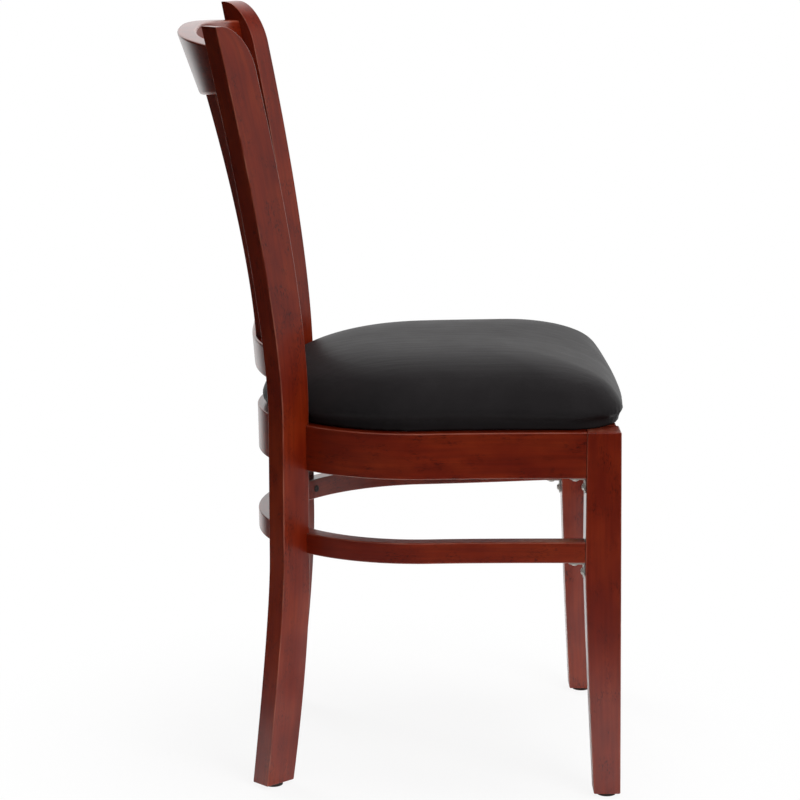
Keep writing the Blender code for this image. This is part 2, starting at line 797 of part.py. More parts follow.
def hoop_inner_point(angle, thick):
    """Point on a hoop's inner face that lies at an angle from straight back, seen from the hoop centre."""
    turn = math.atan2(math.sin(angle) / HOOP_HALF_WIDTH, math.cos(angle) / HOOP_REACH)
    point, _ = hoop_arc(turn)
    return radial(angle) * (point.length - thick)


def make_post_screws(seat_hoop, stretcher, posts):
    """Screws from inside each hoop into the posts."""
    for side, side_name in SIDE_NAMES.items():
        angle = side * POST_ANGLE
        way = radial(angle)
        for place, depth in zip(("upper", "lower"), SEAT_HOOP_SCREW_DEPTHS):
            at = raised(hoop_inner_point(angle, SEAT_HOOP_THICK) + way * SCREW_SINK, -depth)
            name = f"seat_hoop_screw_{side_name}_{place}"
            drive_screw(name, at, way, HOOP_SCREW_LENGTH, [seat_hoop, posts[side]], SEAT_PLANE)
        at = hoop_inner_point(angle, STRETCHER_THICK) + way * SCREW_SINK
        at = raised(at, -STRETCHER_HEIGHT / 2)
        name = "stretcher_screw_" + side_name
        drive_screw(name, at, way, HOOP_SCREW_LENGTH, [stretcher, posts[side]], STRETCHER_PLANE)


def make_block_screws(blocks, seat_hoop, front_rail, board, dust_cover, board_low):
    """Screws that hold the blocks to the frame, and the seat screws up through them."""
    middle = -BLOCK_HEIGHT / 2
    up = Vector((0, 0, 1))
    seat_length = BLOCK_HEIGHT + board_low + SEAT_SCREW_BITE - SCREW_SINK
    for side, side_name in SIDE_NAMES.items():
        plan = front_block_plan(side)
        arm, notch, front = plan[0], plan[2], plan[4]
        block = blocks["front", side]
        seat_at = (notch + (arm + front) / 2) / 2
        seat_at = raised(seat_at, SCREW_SINK - BLOCK_HEIGHT)
        name = f"seat_screw_front_{side_name}"
        drive_screw(name, seat_at, up, seat_length, [block, board, dust_cover], SEAT_PLANE)

        face = arm - front
        rail_at = raised(front + face * BLOCK_FRONT_SCREW_SHARE, middle)
        rail_at.y -= SCREW_HEAD_RADIUS
        name = f"corner_block_screw_{side_name}_front"
        way = Vector((0, -1, 0))
        reach = 2 * CUT_THROUGH
        drive_screw(name, rail_at, way, BLOCK_SCREW_LENGTH, [block, front_rail], SEAT_PLANE, above=reach)
        hoop_at = raised(front + face * BLOCK_SIDE_SCREW_SHARE, middle)
        hoop_at.x += side * SCREW_HEAD_RADIUS
        name = f"corner_block_screw_{side_name}_side"
        way = Vector((side, 0, 0))
        drive_screw(name, hoop_at, way, BLOCK_SCREW_LENGTH, [block, seat_hoop], SEAT_PLANE, above=reach)

        block = blocks["rear", side]
        point, inwards = hoop_arc(side * REAR_BLOCK_ANGLE)
        seat_at = point + inwards * (SEAT_HOOP_THICK + REAR_BLOCK_THICK / 2)
        name = f"seat_screw_rear_{side_name}"
        seat_at = raised(seat_at, SCREW_SINK - BLOCK_HEIGHT)
        drive_screw(name, seat_at, up, seat_length, [block, board, dust_cover], SEAT_PLANE)


def make_dowels(front_rail, legs):
    """Two dowels in each end of the front rail."""
    for side, side_name in SIDE_NAMES.items():
        for place, depth in zip(("upper", "lower"), DOWEL_DEPTHS):
            name = f"front_rail_dowel_{side_name}_{place}"
            at = Vector((side * (LEG_INNER - DOWEL_LENGTH / 2), (FRONT_RAIL_FACE + FRONT_RAIL_REAR) / 2, -depth))
            way = Vector((side, 0, 0))
            for grow in (0.0, CLEARANCE):
                radius = DOWEL_RADIUS + grow
                profile = [(0, grow), (radius, grow), (radius, -DOWEL_LENGTH - grow), (0, -DOWEL_LENGTH - grow)]
                mesh = turned(name, profile)
                if grow:
                    piece = new_cutter(name, mesh, SEAT_PLANE)
                    cut([front_rail, legs[side]], piece)
                else:
                    piece = new_part(name, mesh, BEECH, SEAT_PLANE)
                spin(piece)
                aim(piece, at, way)


def make_brackets(hoop, hoop_name, hoop_low, thick, legs):
    """An angle bracket in the corner under each end of a hoop, screwed to the hoop and to the leg."""
    slope = math.tan(RAKE)
    rear = LEG_REAR + CLEARANCE
    low = hoop_low - CLEARANCE
    for side, side_name in SIDE_NAMES.items():
        name = f"{hoop_name}_bracket_{side_name}"
        middle = side * (LEG_HALF_SPAN - thick / 2)
        top = low - slope * rear
        far_top = top - slope * BRACKET_ARM
        profile = [
            (rear, top),
            (rear + BRACKET_ARM, far_top),
            (rear + BRACKET_ARM, far_top - BRACKET_THICK),
            (rear + BRACKET_THICK, top - BRACKET_THICK),
            (rear + BRACKET_THICK, top - BRACKET_ARM),
            (rear, top - BRACKET_ARM),
        ]
        rings = []
        for half in (-BRACKET_WIDTH / 2, BRACKET_WIDTH / 2):
            rings.append([Vector((middle + half, y, z)) for y, z in profile])
        bracket = new_part(name, loft(name, rings), STEEL, CHAIR)
        at = Vector((middle, rear + BRACKET_HOLE, far_top - BRACKET_THICK - CLEARANCE))
        up = Vector((0, slope, 1)).normalized()
        screw = f"{hoop_name}_bracket_screw_{side_name}_upper"
        drive_screw(screw, at, up, BRACKET_SCREW_LENGTH, [bracket, hoop], CHAIR, True)
        at = Vector((middle, rear + BRACKET_THICK + CLEARANCE, top - BRACKET_HOLE))
        way = Vector((0, -1, 0))
        screw = f"{hoop_name}_bracket_screw_{side_name}_lower"
        drive_screw(screw, at, way, BRACKET_SCREW_LENGTH, [bracket, legs[side]], CHAIR, True)


def make_glide(name, x, y, leg):
    """A nail-on glide: a plastic button under the foot, its nail in the leg."""
    nail_top = GLIDE_HEIGHT + GLIDE_NAIL_LENGTH
    profile = [
        (0, nail_top),
        (GLIDE_NAIL_RADIUS, nail_top),
        (GLIDE_NAIL_RADIUS, GLIDE_HEIGHT),
        (GLIDE_RADIUS, GLIDE_HEIGHT),
        (GLIDE_RADIUS, GLIDE_EDGE),
        (GLIDE_RADIUS - GLIDE_EDGE, 0),
        (0, 0),
    ]
    glide = new_part(name, turned(name, profile), POLYPROPYLENE, CHAIR)
    hole = GLIDE_NAIL_RADIUS + CLEARANCE
    top = nail_top + CLEARANCE
    hole_profile = [(0, top), (hole, top), (hole, GLIDE_HEIGHT - CUT_THROUGH), (0, GLIDE_HEIGHT - CUT_THROUGH)]
    cutter = new_cutter(name, turned(name, hole_profile), CHAIR)
    for piece in (glide, cutter):
        spin(piece)
        piece.location = (x, y, 0)
    cut([leg], cutter)


def make_glides(legs, posts):
    foot_y = LEG_REAR - LEG_DEPTH - LEG_FOOT_FORWARD + LEG_FOOT_DEPTH / 2
    foot_x = LEG_HALF_SPAN - LEG_FOOT_WIDTH / 2
    post_foot = post_outer(GLIDE_HEIGHT) - post_depth(GLIDE_HEIGHT) / 2
    for side, side_name in SIDE_NAMES.items():
        make_glide("floor_glide_front_" + side_name, side * foot_x, foot_y, legs[side])
        at = radial(side * POST_ANGLE) * post_foot
        make_glide("floor_glide_rear_" + side_name, at.x, at.y, posts[side])


clear_scene()
PARTS = new_collection("slat_back_restaurant_chair")
CUTTERS = new_collection("cutters")

MAHOGANY = new_material("stained_beech", (0.115, 0.020, 0.010), 0.28)
BEECH = new_material("bare_beech", (0.55, 0.36, 0.20), 0.60)
PLYWOOD = new_material("plywood", (0.50, 0.34, 0.18), 0.65)
VINYL = new_material("black_vinyl", (0.014, 0.013, 0.013), 0.42)
FOAM = new_material("seat_foam", (0.75, 0.68, 0.45), 0.95)
NONWOVEN = new_material("black_nonwoven", (0.012, 0.012, 0.012), 0.90)
STEEL = new_material("zinc_plated_steel", (0.56, 0.57, 0.57), 0.35, 1.0)
POLYPROPYLENE = new_material("grey_polypropylene", (0.20, 0.18, 0.16), 0.50)

CHAIR = new_empty("chair", location=(0, CHAIR_SHIFT, 0))
SEAT_PLANE = new_empty("seat_plane", CHAIR, (0, 0, SEAT_TOP), -RAKE)
STRETCHER_PLANE = new_empty("stretcher_plane", CHAIR, (0, 0, STRETCHER_TOP), -RAKE)


def main():
    posts = make_posts()
    legs = make_legs()
    seat_hoop = make_hoop(
        "seat_hoop", SEAT_HOOP_THICK, SEAT_HOOP_HEIGHT, SEAT_TENON_SHOULDER, SEAT_PLANE, posts, legs
    )
    stretcher = make_hoop(
        "stretcher_hoop",
        STRETCHER_THICK,
        STRETCHER_HEIGHT,
        STRETCHER_TENON_SHOULDER,
        STRETCHER_PLANE,
        posts,
        legs,
    )
    front_rail = make_front_rail()
    top_rail = make_back_rail(
        "top_rail", top_rail_rear, TOP_RAIL_THICK, top_rail_low, top_rail_high, posts
    )
    lower_rail = make_back_rail(
        "lower_back_rail", lower_rail_rear, LOWER_RAIL_THICK, lower_rail_low, lower_rail_high, posts
    )
    make_slats(lower_rail, top_rail)
    board, dust_cover, board_low = make_seat()
    blocks = make_blocks()
    make_post_screws(seat_hoop, stretcher, posts)
    make_block_screws(blocks, seat_hoop, front_rail, board, dust_cover, board_low)
    make_dowels(front_rail, legs)
    make_brackets(seat_hoop, "seat_hoop", SEAT_TOP - SEAT_HOOP_HEIGHT, SEAT_HOOP_THICK, legs)
    make_brackets(stretcher, "stretcher", STRETCHER_TOP - STRETCHER_HEIGHT, STRETCHER_THICK, legs)
    make_glides(legs, posts)


main()
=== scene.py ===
"""Slat back restaurant chair: its looks.

Smooth bent and shaped wood, a padded vinyl seat, hardware, finishes and light. Lengths are in metres. The
shapes are worked out about the centre of the hoops' rear arc, with +Y to the back and Z up from the floor,
and then moved along Y by CHAIR_SHIFT, as the solids are.
"""

import math

import bmesh
import bpy
import numpy as np
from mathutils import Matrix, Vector


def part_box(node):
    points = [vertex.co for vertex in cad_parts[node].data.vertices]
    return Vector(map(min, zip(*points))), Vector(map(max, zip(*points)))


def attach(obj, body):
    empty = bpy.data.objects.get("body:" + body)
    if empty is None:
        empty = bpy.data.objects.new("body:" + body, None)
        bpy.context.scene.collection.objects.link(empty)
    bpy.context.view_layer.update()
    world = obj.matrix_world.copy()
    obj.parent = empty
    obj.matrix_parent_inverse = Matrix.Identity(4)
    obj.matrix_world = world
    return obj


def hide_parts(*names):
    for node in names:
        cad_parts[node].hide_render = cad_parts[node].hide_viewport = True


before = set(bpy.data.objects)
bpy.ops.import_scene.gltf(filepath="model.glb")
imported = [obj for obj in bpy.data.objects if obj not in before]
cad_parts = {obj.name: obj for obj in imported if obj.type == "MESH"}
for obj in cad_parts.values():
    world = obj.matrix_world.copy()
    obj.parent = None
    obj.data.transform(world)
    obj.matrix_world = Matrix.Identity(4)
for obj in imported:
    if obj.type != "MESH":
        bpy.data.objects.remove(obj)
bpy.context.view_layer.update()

# Whole chair
HEIGHT = 0.870
GLIDE_HEIGHT = 0.004
RAKE = math.radians(1.0885)
CHAIR_SHIFT = -0.03215

# Rear posts
POST_ANGLE = math.radians(43)
POST_WIDTH = 0.0255
POST_RADIUS = 0.238
POST_DEPTH_FOOT = 0.0405
POST_DEPTH_SEAT = 0.039
POST_DEPTH_TOP = 0.0425
POST_BELLY = 0.003
POST_SPLAY = 0.0285
POST_LEAN = 0.0907
POST_LEG_KNEE = 0.201
POST_STRAIGHT_LOW = 0.264
POST_STRAIGHT_HIGH = 0.422
POST_BACK_KNEE = 0.546
POST_CROWN_WIDE = 0.035
POST_CROWN_TALL = 0.048

# Hoops
HOOP_HALF_WIDTH = 0.208
HOOP_REACH = 0.200
HOOP_FLARE_POWER = 1.5
SEAT_TOP = 0.420
SEAT_HOOP_HEIGHT = 0.0525
SEAT_HOOP_THICK = 0.022
STRETCHER_TOP = 0.295
STRETCHER_HEIGHT = 0.024
STRETCHER_THICK = 0.020

# Front legs and rail
LEG_HALF_SPAN = 0.219
LEG_REAR = -0.172
LEG_WIDTH = 0.0385
LEG_DEPTH = 0.0385
LEG_FOOT_WIDTH = 0.030
LEG_FOOT_DEPTH = 0.030
LEG_FOOT_FORWARD = 0.0048
LEG_TAPER_TOP = 0.264
FRONT_RAIL_HEIGHT = 0.0525
FRONT_RAIL_THICK = 0.022
FRONT_RAIL_RECESS = 0.003

# Back rails and slats
RAIL_RECESS = 0.004
RAIL_BEND_POWER = 3
TOP_RAIL_REACH = 0.2865
TOP_RAIL_TOP = 0.855
TOP_RAIL_BOTTOM = 0.782
TOP_RAIL_ARCH = 0.014
TOP_RAIL_CROWN = 0.0065
TOP_RAIL_THICK = 0.022
TOP_RAIL_LEAN = math.radians(20)
LOWER_RAIL_REACH = 0.2045
LOWER_RAIL_TOP = 0.510
LOWER_RAIL_BOTTOM = 0.471
LOWER_RAIL_THICK = 0.018
LOWER_RAIL_LEAN = math.radians(4.6)
RAIL_ARRIS = 0.003
SLAT_COUNT = 5
SLAT_WIDTH = 0.025
SLAT_THICK = 0.0065
SLAT_SEAT_FROM_REAR_LOW = 0.0100
SLAT_SEAT_FROM_REAR_TOP = 0.0118
SLAT_BOW_POWER = 1.16

# Seat
CUSHION_INSET = 0.0055
CUSHION_FRONT = 0.2222
CUSHION_BOW = 0.0067
CUSHION_CORNER = 0.060
CUSHION_TUCK = 0.0039
COVER_LIP = 0.0146
DUST_COVER_MARGIN = 0.003
DUST_COVER_TOP = 0.0015
DUST_COVER_THICK = 0.0006
DUST_COVER_SAG = 0.0025

# Stuffed cover: rounder at its front and rear than at its sides
STUFFED_BOTTOM = 0.0004
STUFFED_CROWN = 0.0708
STUFFED_FRONT = 0.2240
STUFFED_PEAK_BACK = 0.0150
STUFFED_SIDE_POWER = 3.9
STUFFED_FRONT_POWER = 3.1
STUFFED_REAR_POWER = 2.9
STUFFED_SIDE_TOP_POWER = 1.9
STUFFED_FRONT_TOP_POWER = 1.72
STUFFED_REAR_TOP_POWER = 1.62
STUFFED_SIDE_WIDEST = 0.022
STUFFED_END_WIDEST = 0.0095
STUFFED_SIDE_TUCK = 0.0052
STUFFED_END_TUCK = 0.0042
STUFFED_TUCK_SHARE = 0.42
STUFFED_SWELL = 0.0035

# Cloth that swells the cover
STUFFING_VOXEL = 0.005
STUFFING_PRESSURE = 4
STUFFING_FRAMES = 20
STUFFING_EVENINGS = 12

# Hardware
SCREW_RADIUS = 0.0021
SCREW_HEAD_RADIUS = 0.0042
SCREW_HEAD_HEIGHT = 0.0026
SCREW_TIP = 0.004
SCREW_POINT = 0.0003
SCREW_CROWN = 0.0003
SCREW_RECESS = 0.0013
HOOP_SCREW_LIFT = 0.0014
HOOP_SCREW_RECESS = 0.0005
BRACKET_THICK = 0.0015
BRACKET_BEND = 0.0022
BRACKET_ARRIS = 0.0003
BRACKET_CORNER_SHARE = 0.3
GLIDE_RADIUS = 0.011
GLIDE_EDGE = 0.0015
GLIDE_SHOULDER = 0.0008
GLIDE_SIDE_FOOT = 0.0022
GLIDE_NAIL_RADIUS = 0.0015
GLIDE_DISH_RADIUS = 0.006
GLIDE_DISH_DEPTH = 0.0003

# Arrises and joints
ARRIS = 0.0014
CROWN_ARRIS_SHARE = 0.6
END_STRETCH = 0.004
JOINT_GAP = 0.0003
SLAT_INTO_LOWER_RAIL = 0.004
SLAT_INTO_TOP_RAIL = 0.006

# Rings and points along the shapes
CORNER_STEPS = 4
END_RINGS = 5
POST_RINGS = 110
CROWN_RINGS = 24
LEG_RINGS = 40
FRONT_RAIL_RINGS = 30
HOOP_ARC_RINGS = 60
HOOP_SIDE_RINGS = 30
BACK_RAIL_RINGS = 121
SLAT_RINGS = 60
SEAT_ARC_POINTS = 60
SEAT_SIDE_POINTS = 40
SEAT_CORNER_POINTS = 30
SEAT_FRONT_POINTS = 40
SEAT_PLAN_POINTS = 96
CUSHION_TOP_RINGS = 40
CUSHION_SIDE_RINGS = 14
CUSHION_BOTTOM_RINGS = 11
DUST_COVER_RINGS = 24
TURNED_POINTS = 48
SCREW_FACE_RINGS = 22
BRACKET_ARM_RINGS = 11
BRACKET_BEND_RINGS = 9
GLIDE_EDGE_RINGS = 7

# View of the photograph, found by a fit to its outlines
CAMERA_PLACE = (-3.3444, 0.03485, 1.0871)
CAMERA_PITCH = math.radians(11.335)
CAMERA_YAW = math.radians(0.591)
CAMERA_LENS_MM = 130.23
CAMERA_SENSOR_MM = 36
LIGHTS_AIM = (0, 0, 0.45)

RIGHT = -1
LEFT = 1
SIDE_NAMES = {RIGHT: "right", LEFT: "left"}

FRONT_RAIL_FACE = LEG_REAR - LEG_DEPTH + FRONT_RAIL_RECESS
FRONT_RAIL_REAR = FRONT_RAIL_FACE + FRONT_RAIL_THICK
LEG_INNER = LEG_HALF_SPAN - LEG_WIDTH
LEG_TOP = SEAT_TOP - LEG_REAR * math.tan(RAKE)
CUSHION_REACH = HOOP_REACH - CUSHION_INSET


# Meshes


def lerp(first, last, share):
    """Value that lies at a share of the way from the first to the last."""
    return first + (last - first) * share


def stack(x, y, z):
    """Points from their three coordinates, each given for all of them or for whole rows."""
    return np.stack(np.broadcast_arrays(x, y, z), -1)


def to_chair(points):
    """Moves points from the hoops' centre to their place in the frame."""
    return points + np.array((0, CHAIR_SHIFT, 0))


def raked(points, top):
    """Points in a plane whose top lies at Z 0, tipped back by the rake and lifted to a height."""
    x, y, z = np.moveaxis(points, -1, 0)
    cos, sin = math.cos(RAKE), math.sin(RAKE)
    return stack(x, y * cos + z * sin, z * cos - y * sin + top)


def rounded_ring(half_a, half_b, radius):
    """Rounded rectangle: four quarter circles about its corners drawn in by the radius."""
    turn = np.linspace(0, np.pi / 2, CORNER_STEPS + 1)
    angle = (np.arange(4)[:, None] * np.pi / 2 + turn).ravel()
    sign_a = np.repeat((1, -1, -1, 1), CORNER_STEPS + 1)
    sign_b = np.repeat((1, 1, -1, -1), CORNER_STEPS + 1)
    half_a, half_b, radius = np.atleast_1d(*np.broadcast_arrays(half_a, half_b, radius))
    half_a, half_b, radius = half_a[:, None], half_b[:, None], radius[:, None]
    a = sign_a * (half_a - radius) + radius * np.cos(angle)
    b = sign_b * (half_b - radius) + radius * np.sin(angle)
    return a, b


def mesh_object(name, vertices, faces):
    """A new object at the origin, with all its faces turned outwards."""
    mesh = bpy.data.meshes.new(name)
    mesh.from_pydata(vertices, [], faces)
    bm = bmesh.new()
    bm.from_mesh(mesh)
    bmesh.ops.recalc_face_normals(bm, faces=bm.faces)
    bm.to_mesh(mesh)
    bm.free()
    piece = bpy.data.objects.new(name, mesh)
    bpy.context.scene.collection.objects.link(piece)
    return piece


def shade(piece, angle=40):
    """Smooth over rounded arrises, sharp past an angle, and flat on the flat faces."""
    piece.data.shade_smooth()
    piece.data.set_sharp_from_angle(angle=math.radians(angle))
    weighted = piece.modifiers.new("flat faces stay flat", "WEIGHTED_NORMAL")
    weighted.keep_sharp = True


def grid_faces(rows, columns):
    """Quads between rows of points that close on themselves."""
    first = np.arange(rows - 1)[:, None] * columns
    here = np.arange(columns)
    there = (here + 1) % columns
    corners = (first + here, first + there, first + there + columns, first + here + columns)
    return np.stack(corners, -1).reshape(-1, 4).tolist()


def skin(name, rings):
    """A closed skin over rows of points that close on themselves, with a flat cap at each end."""
    rows, columns = rings.shape[:2]
    faces = grid_faces(rows, columns)
    faces += [list(range(columns)), list(range((rows - 1) * columns, rows * columns))]
    return mesh_object(name, rings.reshape(-1, 3), faces)


def fit(piece, material, slot, *nodes):
    """Gives a piece its finish and puts it in place of the solids it stands for."""
    piece.data.materials.append(material)
    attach(piece, "root")
    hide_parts(*nodes)


def wooden(name, rings, grain):
    """A piece of shaped wood through rounded rings.

    It keeps the grain's own straight coordinates, moved by a length that differs from piece to piece, and
    how far each point is round an arris.
    """
    piece = skin(name, to_chair(rings))
    letters = sum(map(ord, name))
    cut_from = letters * np.array((0.0137, 0.0071, 0.0))
    attribute = piece.data.attributes.new("grain", "FLOAT_VECTOR", "POINT")
    attribute.data.foreach_set("vector", (grain.reshape(-1, 3) + cut_from).ravel())
    bend = np.sin(2 * np.linspace(0, np.pi / 2, CORNER_STEPS + 1))
    # How far round an arris each point is: the mask of the painted highlight along the arrises.
    attribute = piece.data.attributes.new("arris", "FLOAT", "POINT")
    attribute.data.foreach_set("value", np.tile(bend, 4 * len(rings)))
    shade(piece)
    fit(piece, STAINED_BEECH, "stained_beech", name)
    return piece


# Rear posts


def bow_share(z, start, knee, end):
    """Share along a quadratic bow from start to end, bent at the knee, where it reaches height z."""
    square = end - 2 * knee + start
    slope = 2 * (knee - start)
    rest = start - z
    root = np.sqrt(slope * slope - 4 * square * rest)
    return -2 * rest / (slope + math.copysign(1, slope) * root)


def post_outer(z):
    """Reach of a post's outer face: a bow to the foot, a straight at the hoops and a bow to the top."""
    z = np.asarray(z, float)
    up = bow_share(np.clip(z, POST_STRAIGHT_HIGH, HEIGHT), POST_STRAIGHT_HIGH, POST_BACK_KNEE, HEIGHT)
    down = bow_share(np.clip(z, 0, POST_STRAIGHT_LOW), POST_STRAIGHT_LOW, POST_LEG_KNEE, 0)
    return POST_RADIUS + POST_LEAN * up**2 + POST_SPLAY * down**2


def post_depth(z):
    """Depth of a post: even at the hoops, changing to the foot and the top, with a belly along each."""
    up = np.clip((z - POST_STRAIGHT_HIGH) / (HEIGHT - POST_STRAIGHT_HIGH), 0, 1)
    down = np.clip(1 - z / POST_STRAIGHT_LOW, 0, 1)
    above = (POST_DEPTH_TOP - POST_DEPTH_SEAT) * up
    below = (POST_DEPTH_FOOT - POST_DEPTH_SEAT) * down
    return POST_DEPTH_SEAT + above + below + POST_BELLY * 4 * (up * (1 - up) + down * (1 - down))


def rear_post(side):
    """Level rounded rectangles between the post's inner and outer reach, turned to the post's angle.

    Over the crown the inner reach moves out as a quarter of an ellipse.
    """
    foot = GLIDE_HEIGHT + JOINT_GAP
    foot_turn = np.linspace(0, np.pi / 2, END_RINGS)
    crown_foot = HEIGHT - POST_CROWN_TALL
    turn = np.linspace(0, np.pi / 2, CROWN_RINGS + 1)[1:]
    z = np.concatenate((
        foot + ARRIS * (1 - np.cos(foot_turn)),
        np.linspace(foot + END_STRETCH, crown_foot, POST_RINGS),
        crown_foot + POST_CROWN_TALL * np.sin(turn),
    ))
    drop_in = np.concatenate((np.zeros(END_RINGS + POST_RINGS), POST_CROWN_WIDE * (1 - np.cos(turn))))
    outer = post_outer(z)
    inner = outer - post_depth(z) + drop_in
    draw_in = np.zeros_like(z)
    draw_in[:END_RINGS] = ARRIS * (1 - np.sin(foot_turn))
    top_turn = np.clip((z - HEIGHT + ARRIS) / ARRIS, 0, 1)
    outer = outer - ARRIS * (1 - np.sqrt(1 - top_turn**2))
    half_depth = (outer - inner) / 2
    arris = np.minimum(ARRIS, half_depth * CROWN_ARRIS_SHARE)
    across, deep = rounded_ring(POST_WIDTH / 2 - draw_in, half_depth - draw_in, arris)
    reach = (outer + inner)[:, None] / 2 + deep
    sin, cos = math.sin(POST_ANGLE), math.cos(POST_ANGLE)
    rings = stack(side * (reach * sin + across * cos), reach * cos - across * sin, z[:, None])
    return wooden("rear_post_" + SIDE_NAMES[side], rings, stack(z[:, None], across, deep))


# Front legs and front rail


def front_leg(side):
    """Level rounded rectangles: square to below the stretcher, then tapered on the two inner faces."""
    foot = GLIDE_HEIGHT + JOINT_GAP
    turn = np.linspace(0, np.pi / 2, END_RINGS)
    z = np.concatenate((
        foot + ARRIS * (1 - np.cos(turn)),
        np.linspace(foot + END_STRETCH, LEG_TOP - END_STRETCH, LEG_RINGS),
        LEG_TOP - ARRIS * (1 - np.sin(turn)),
    ))
    draw_in = np.zeros_like(z)
    draw_in[:END_RINGS] = ARRIS * (1 - np.sin(turn))
    draw_in[-END_RINGS:] = ARRIS * (1 - np.cos(turn))
    taper = np.clip((LEG_TAPER_TOP - z) / LEG_TAPER_TOP, 0, 1)
    front = LEG_REAR - LEG_DEPTH - LEG_FOOT_FORWARD * (LEG_TOP - z) / LEG_TOP
    rear = lerp(LEG_REAR, front + LEG_FOOT_DEPTH, taper)
    width = lerp(LEG_WIDTH, LEG_FOOT_WIDTH, taper)
    across, deep = rounded_ring(width / 2 - draw_in, (rear - front) / 2 - draw_in, ARRIS)
    x = side * (LEG_HALF_SPAN - width / 2)[:, None] + across
    y = ((rear + front) / 2)[:, None] + deep
    rings = stack(x, y, z[:, None])
    return wooden("front_leg_" + SIDE_NAMES[side], rings, stack(z[:, None], across, deep))


def front_seat_rail():
    """A straight bar of rounded rectangles between the front legs, in the seat's plane."""
    x = np.linspace(-LEG_INNER + JOINT_GAP, LEG_INNER - JOINT_GAP, FRONT_RAIL_RINGS)
    half_height = np.full_like(x, FRONT_RAIL_HEIGHT / 2)
    deep, tall = rounded_ring(FRONT_RAIL_THICK / 2, half_height, ARRIS)
    middle = (FRONT_RAIL_FACE + FRONT_RAIL_REAR) / 2
    rings = stack(x[:, None], middle + deep, tall - FRONT_RAIL_HEIGHT / 2)
    return wooden("front_seat_rail", raked(rings, SEAT_TOP), stack(x[:, None], deep, tall))


# Hoops


def hoop_side(y):
    """Half width over the hoops beside the seat, which grows to the legs with a power of the distance."""
    return lerp(HOOP_HALF_WIDTH, LEG_HALF_SPAN, np.clip(y / LEG_REAR, 0, 1) ** HOOP_FLARE_POWER)


def hoop_arc(count):
    """Left half of the hoops' rear arc: a quarter of an ellipse, and the way outwards at each point."""
    turn = np.linspace(0, np.pi / 2, count)
    arc = np.stack((HOOP_HALF_WIDTH * np.sin(turn), HOOP_REACH * np.cos(turn)), -1)
    outwards = np.stack((np.sin(turn) / HOOP_HALF_WIDTH, np.cos(turn) / HOOP_REACH), -1)
    return arc, outwards / np.linalg.norm(outwards, axis=-1, keepdims=True)


def length_along(line):
    """Length along a line of points, at each of them."""
    steps = np.linalg.norm(np.diff(line, axis=0), axis=-1)
    return np.concatenate(([0], np.cumsum(steps)))


def hoop_line():
    """The hoops' outer face in plan, right leg to left leg: half an ellipse and two flared sides.

    Returns the points and the way inwards at each.
    """
    arc, outwards = hoop_arc(HOOP_ARC_RINGS + 1)
    y = np.linspace(0, LEG_REAR + JOINT_GAP, HOOP_SIDE_RINGS + 1)[1:]
    left = np.concatenate((arc, np.stack((hoop_side(y), y), -1)))
    left_in = np.concatenate((-outwards, np.tile((-1.0, 0.0), (HOOP_SIDE_RINGS, 1))))
    mirror = np.array((-1, 1))
    line = np.concatenate((left[:0:-1] * mirror, left))
    inwards = np.concatenate((left_in[:0:-1] * mirror, left_in))
    return line, inwards


def hoop(name, thick, height, top):
    """Rounded rectangles carried along the hoops' line, in a raked plane, upright at the legs."""
    line, inwards = hoop_line()
    along = length_along(line)
    deep, tall = rounded_ring(np.full(len(line), thick / 2), height / 2, ARRIS)
    plan = line[:, None] + inwards[:, None] * (thick / 2 - deep)[..., None]
    rings = stack(plan[..., 0], plan[..., 1], tall - height / 2)
    rings[[0, -1], :, 1] -= rings[[0, -1], :, 2] * math.tan(RAKE)
    return wooden(name, raked(rings, top), stack(along[:, None], deep, tall))


# Back rails and slats


def rail_turn(u):
    """Angle that a back rail has turned by at share u of its half length: the post's angle at its end."""
    return POST_ANGLE * u * np.abs(u) ** (RAIL_BEND_POWER - 2)


def rail_point(u, z, depth, middle, lean, top):
    """Plan point of a back rail at a depth inside its rear face.

    The rear face is nearly straight at its middle, where it leans back, and bends forward to the posts
    with a power of the share u.
    """
    reach = post_outer(z) - RAIL_RECESS
    half_post = POST_WIDTH / 2 + JOINT_GAP
    end_x = reach * math.sin(POST_ANGLE) - half_post * math.cos(POST_ANGLE)
    end_y = reach * math.cos(POST_ANGLE) + half_post * math.sin(POST_ANGLE)
    y = lerp(middle - math.tan(lean) * (top - z), end_y, np.abs(u) ** RAIL_BEND_POWER)
    return end_x * u - depth * np.sin(rail_turn(u)), y - depth * np.cos(rail_turn(u))


def top_rail_point(u, z, depth):
    """Plan point of the top rail."""
    return rail_point(u, z, depth, TOP_RAIL_REACH, TOP_RAIL_LEAN, TOP_RAIL_TOP)


def lower_rail_point(u, z, depth):
    """Plan point of the lower back rail."""
    return rail_point(u, z, depth, LOWER_RAIL_REACH, LOWER_RAIL_LEAN, LOWER_RAIL_TOP)


def top_rail_low(u):
    """Lower edge of the top rail: lowest at its middle, rising with the square of the share u."""
    return TOP_RAIL_BOTTOM + TOP_RAIL_ARCH * u * u


def top_rail_high(u):
    """Upper edge of the top rail: highest at its middle, falling with the square of the share u."""
    return TOP_RAIL_TOP - TOP_RAIL_CROWN * u * u


def lower_rail_low(u):
    """Lower edge of the lower back rail: level."""
    return np.full_like(u, LOWER_RAIL_BOTTOM)


def lower_rail_high(u):
    """Upper edge of the lower back rail: level."""
    return np.full_like(u, LOWER_RAIL_TOP)


def back_rail(name, point, thick, low, high):
    """Rounded sections between a rail's lower and upper edge and its two faces, bent from post to post."""
    u = np.linspace(-1, 1, BACK_RAIL_RINGS)
    deep, tall = rounded_ring(thick / 2, (high(u) - low(u)) / 2, RAIL_ARRIS)
    z = ((high(u) + low(u)) / 2)[:, None] + tall
    x, y = point(u[:, None], z, thick / 2 - deep)
    return wooden(name, stack(x, y, z), stack(x.mean(-1, keepdims=True), tall, deep))


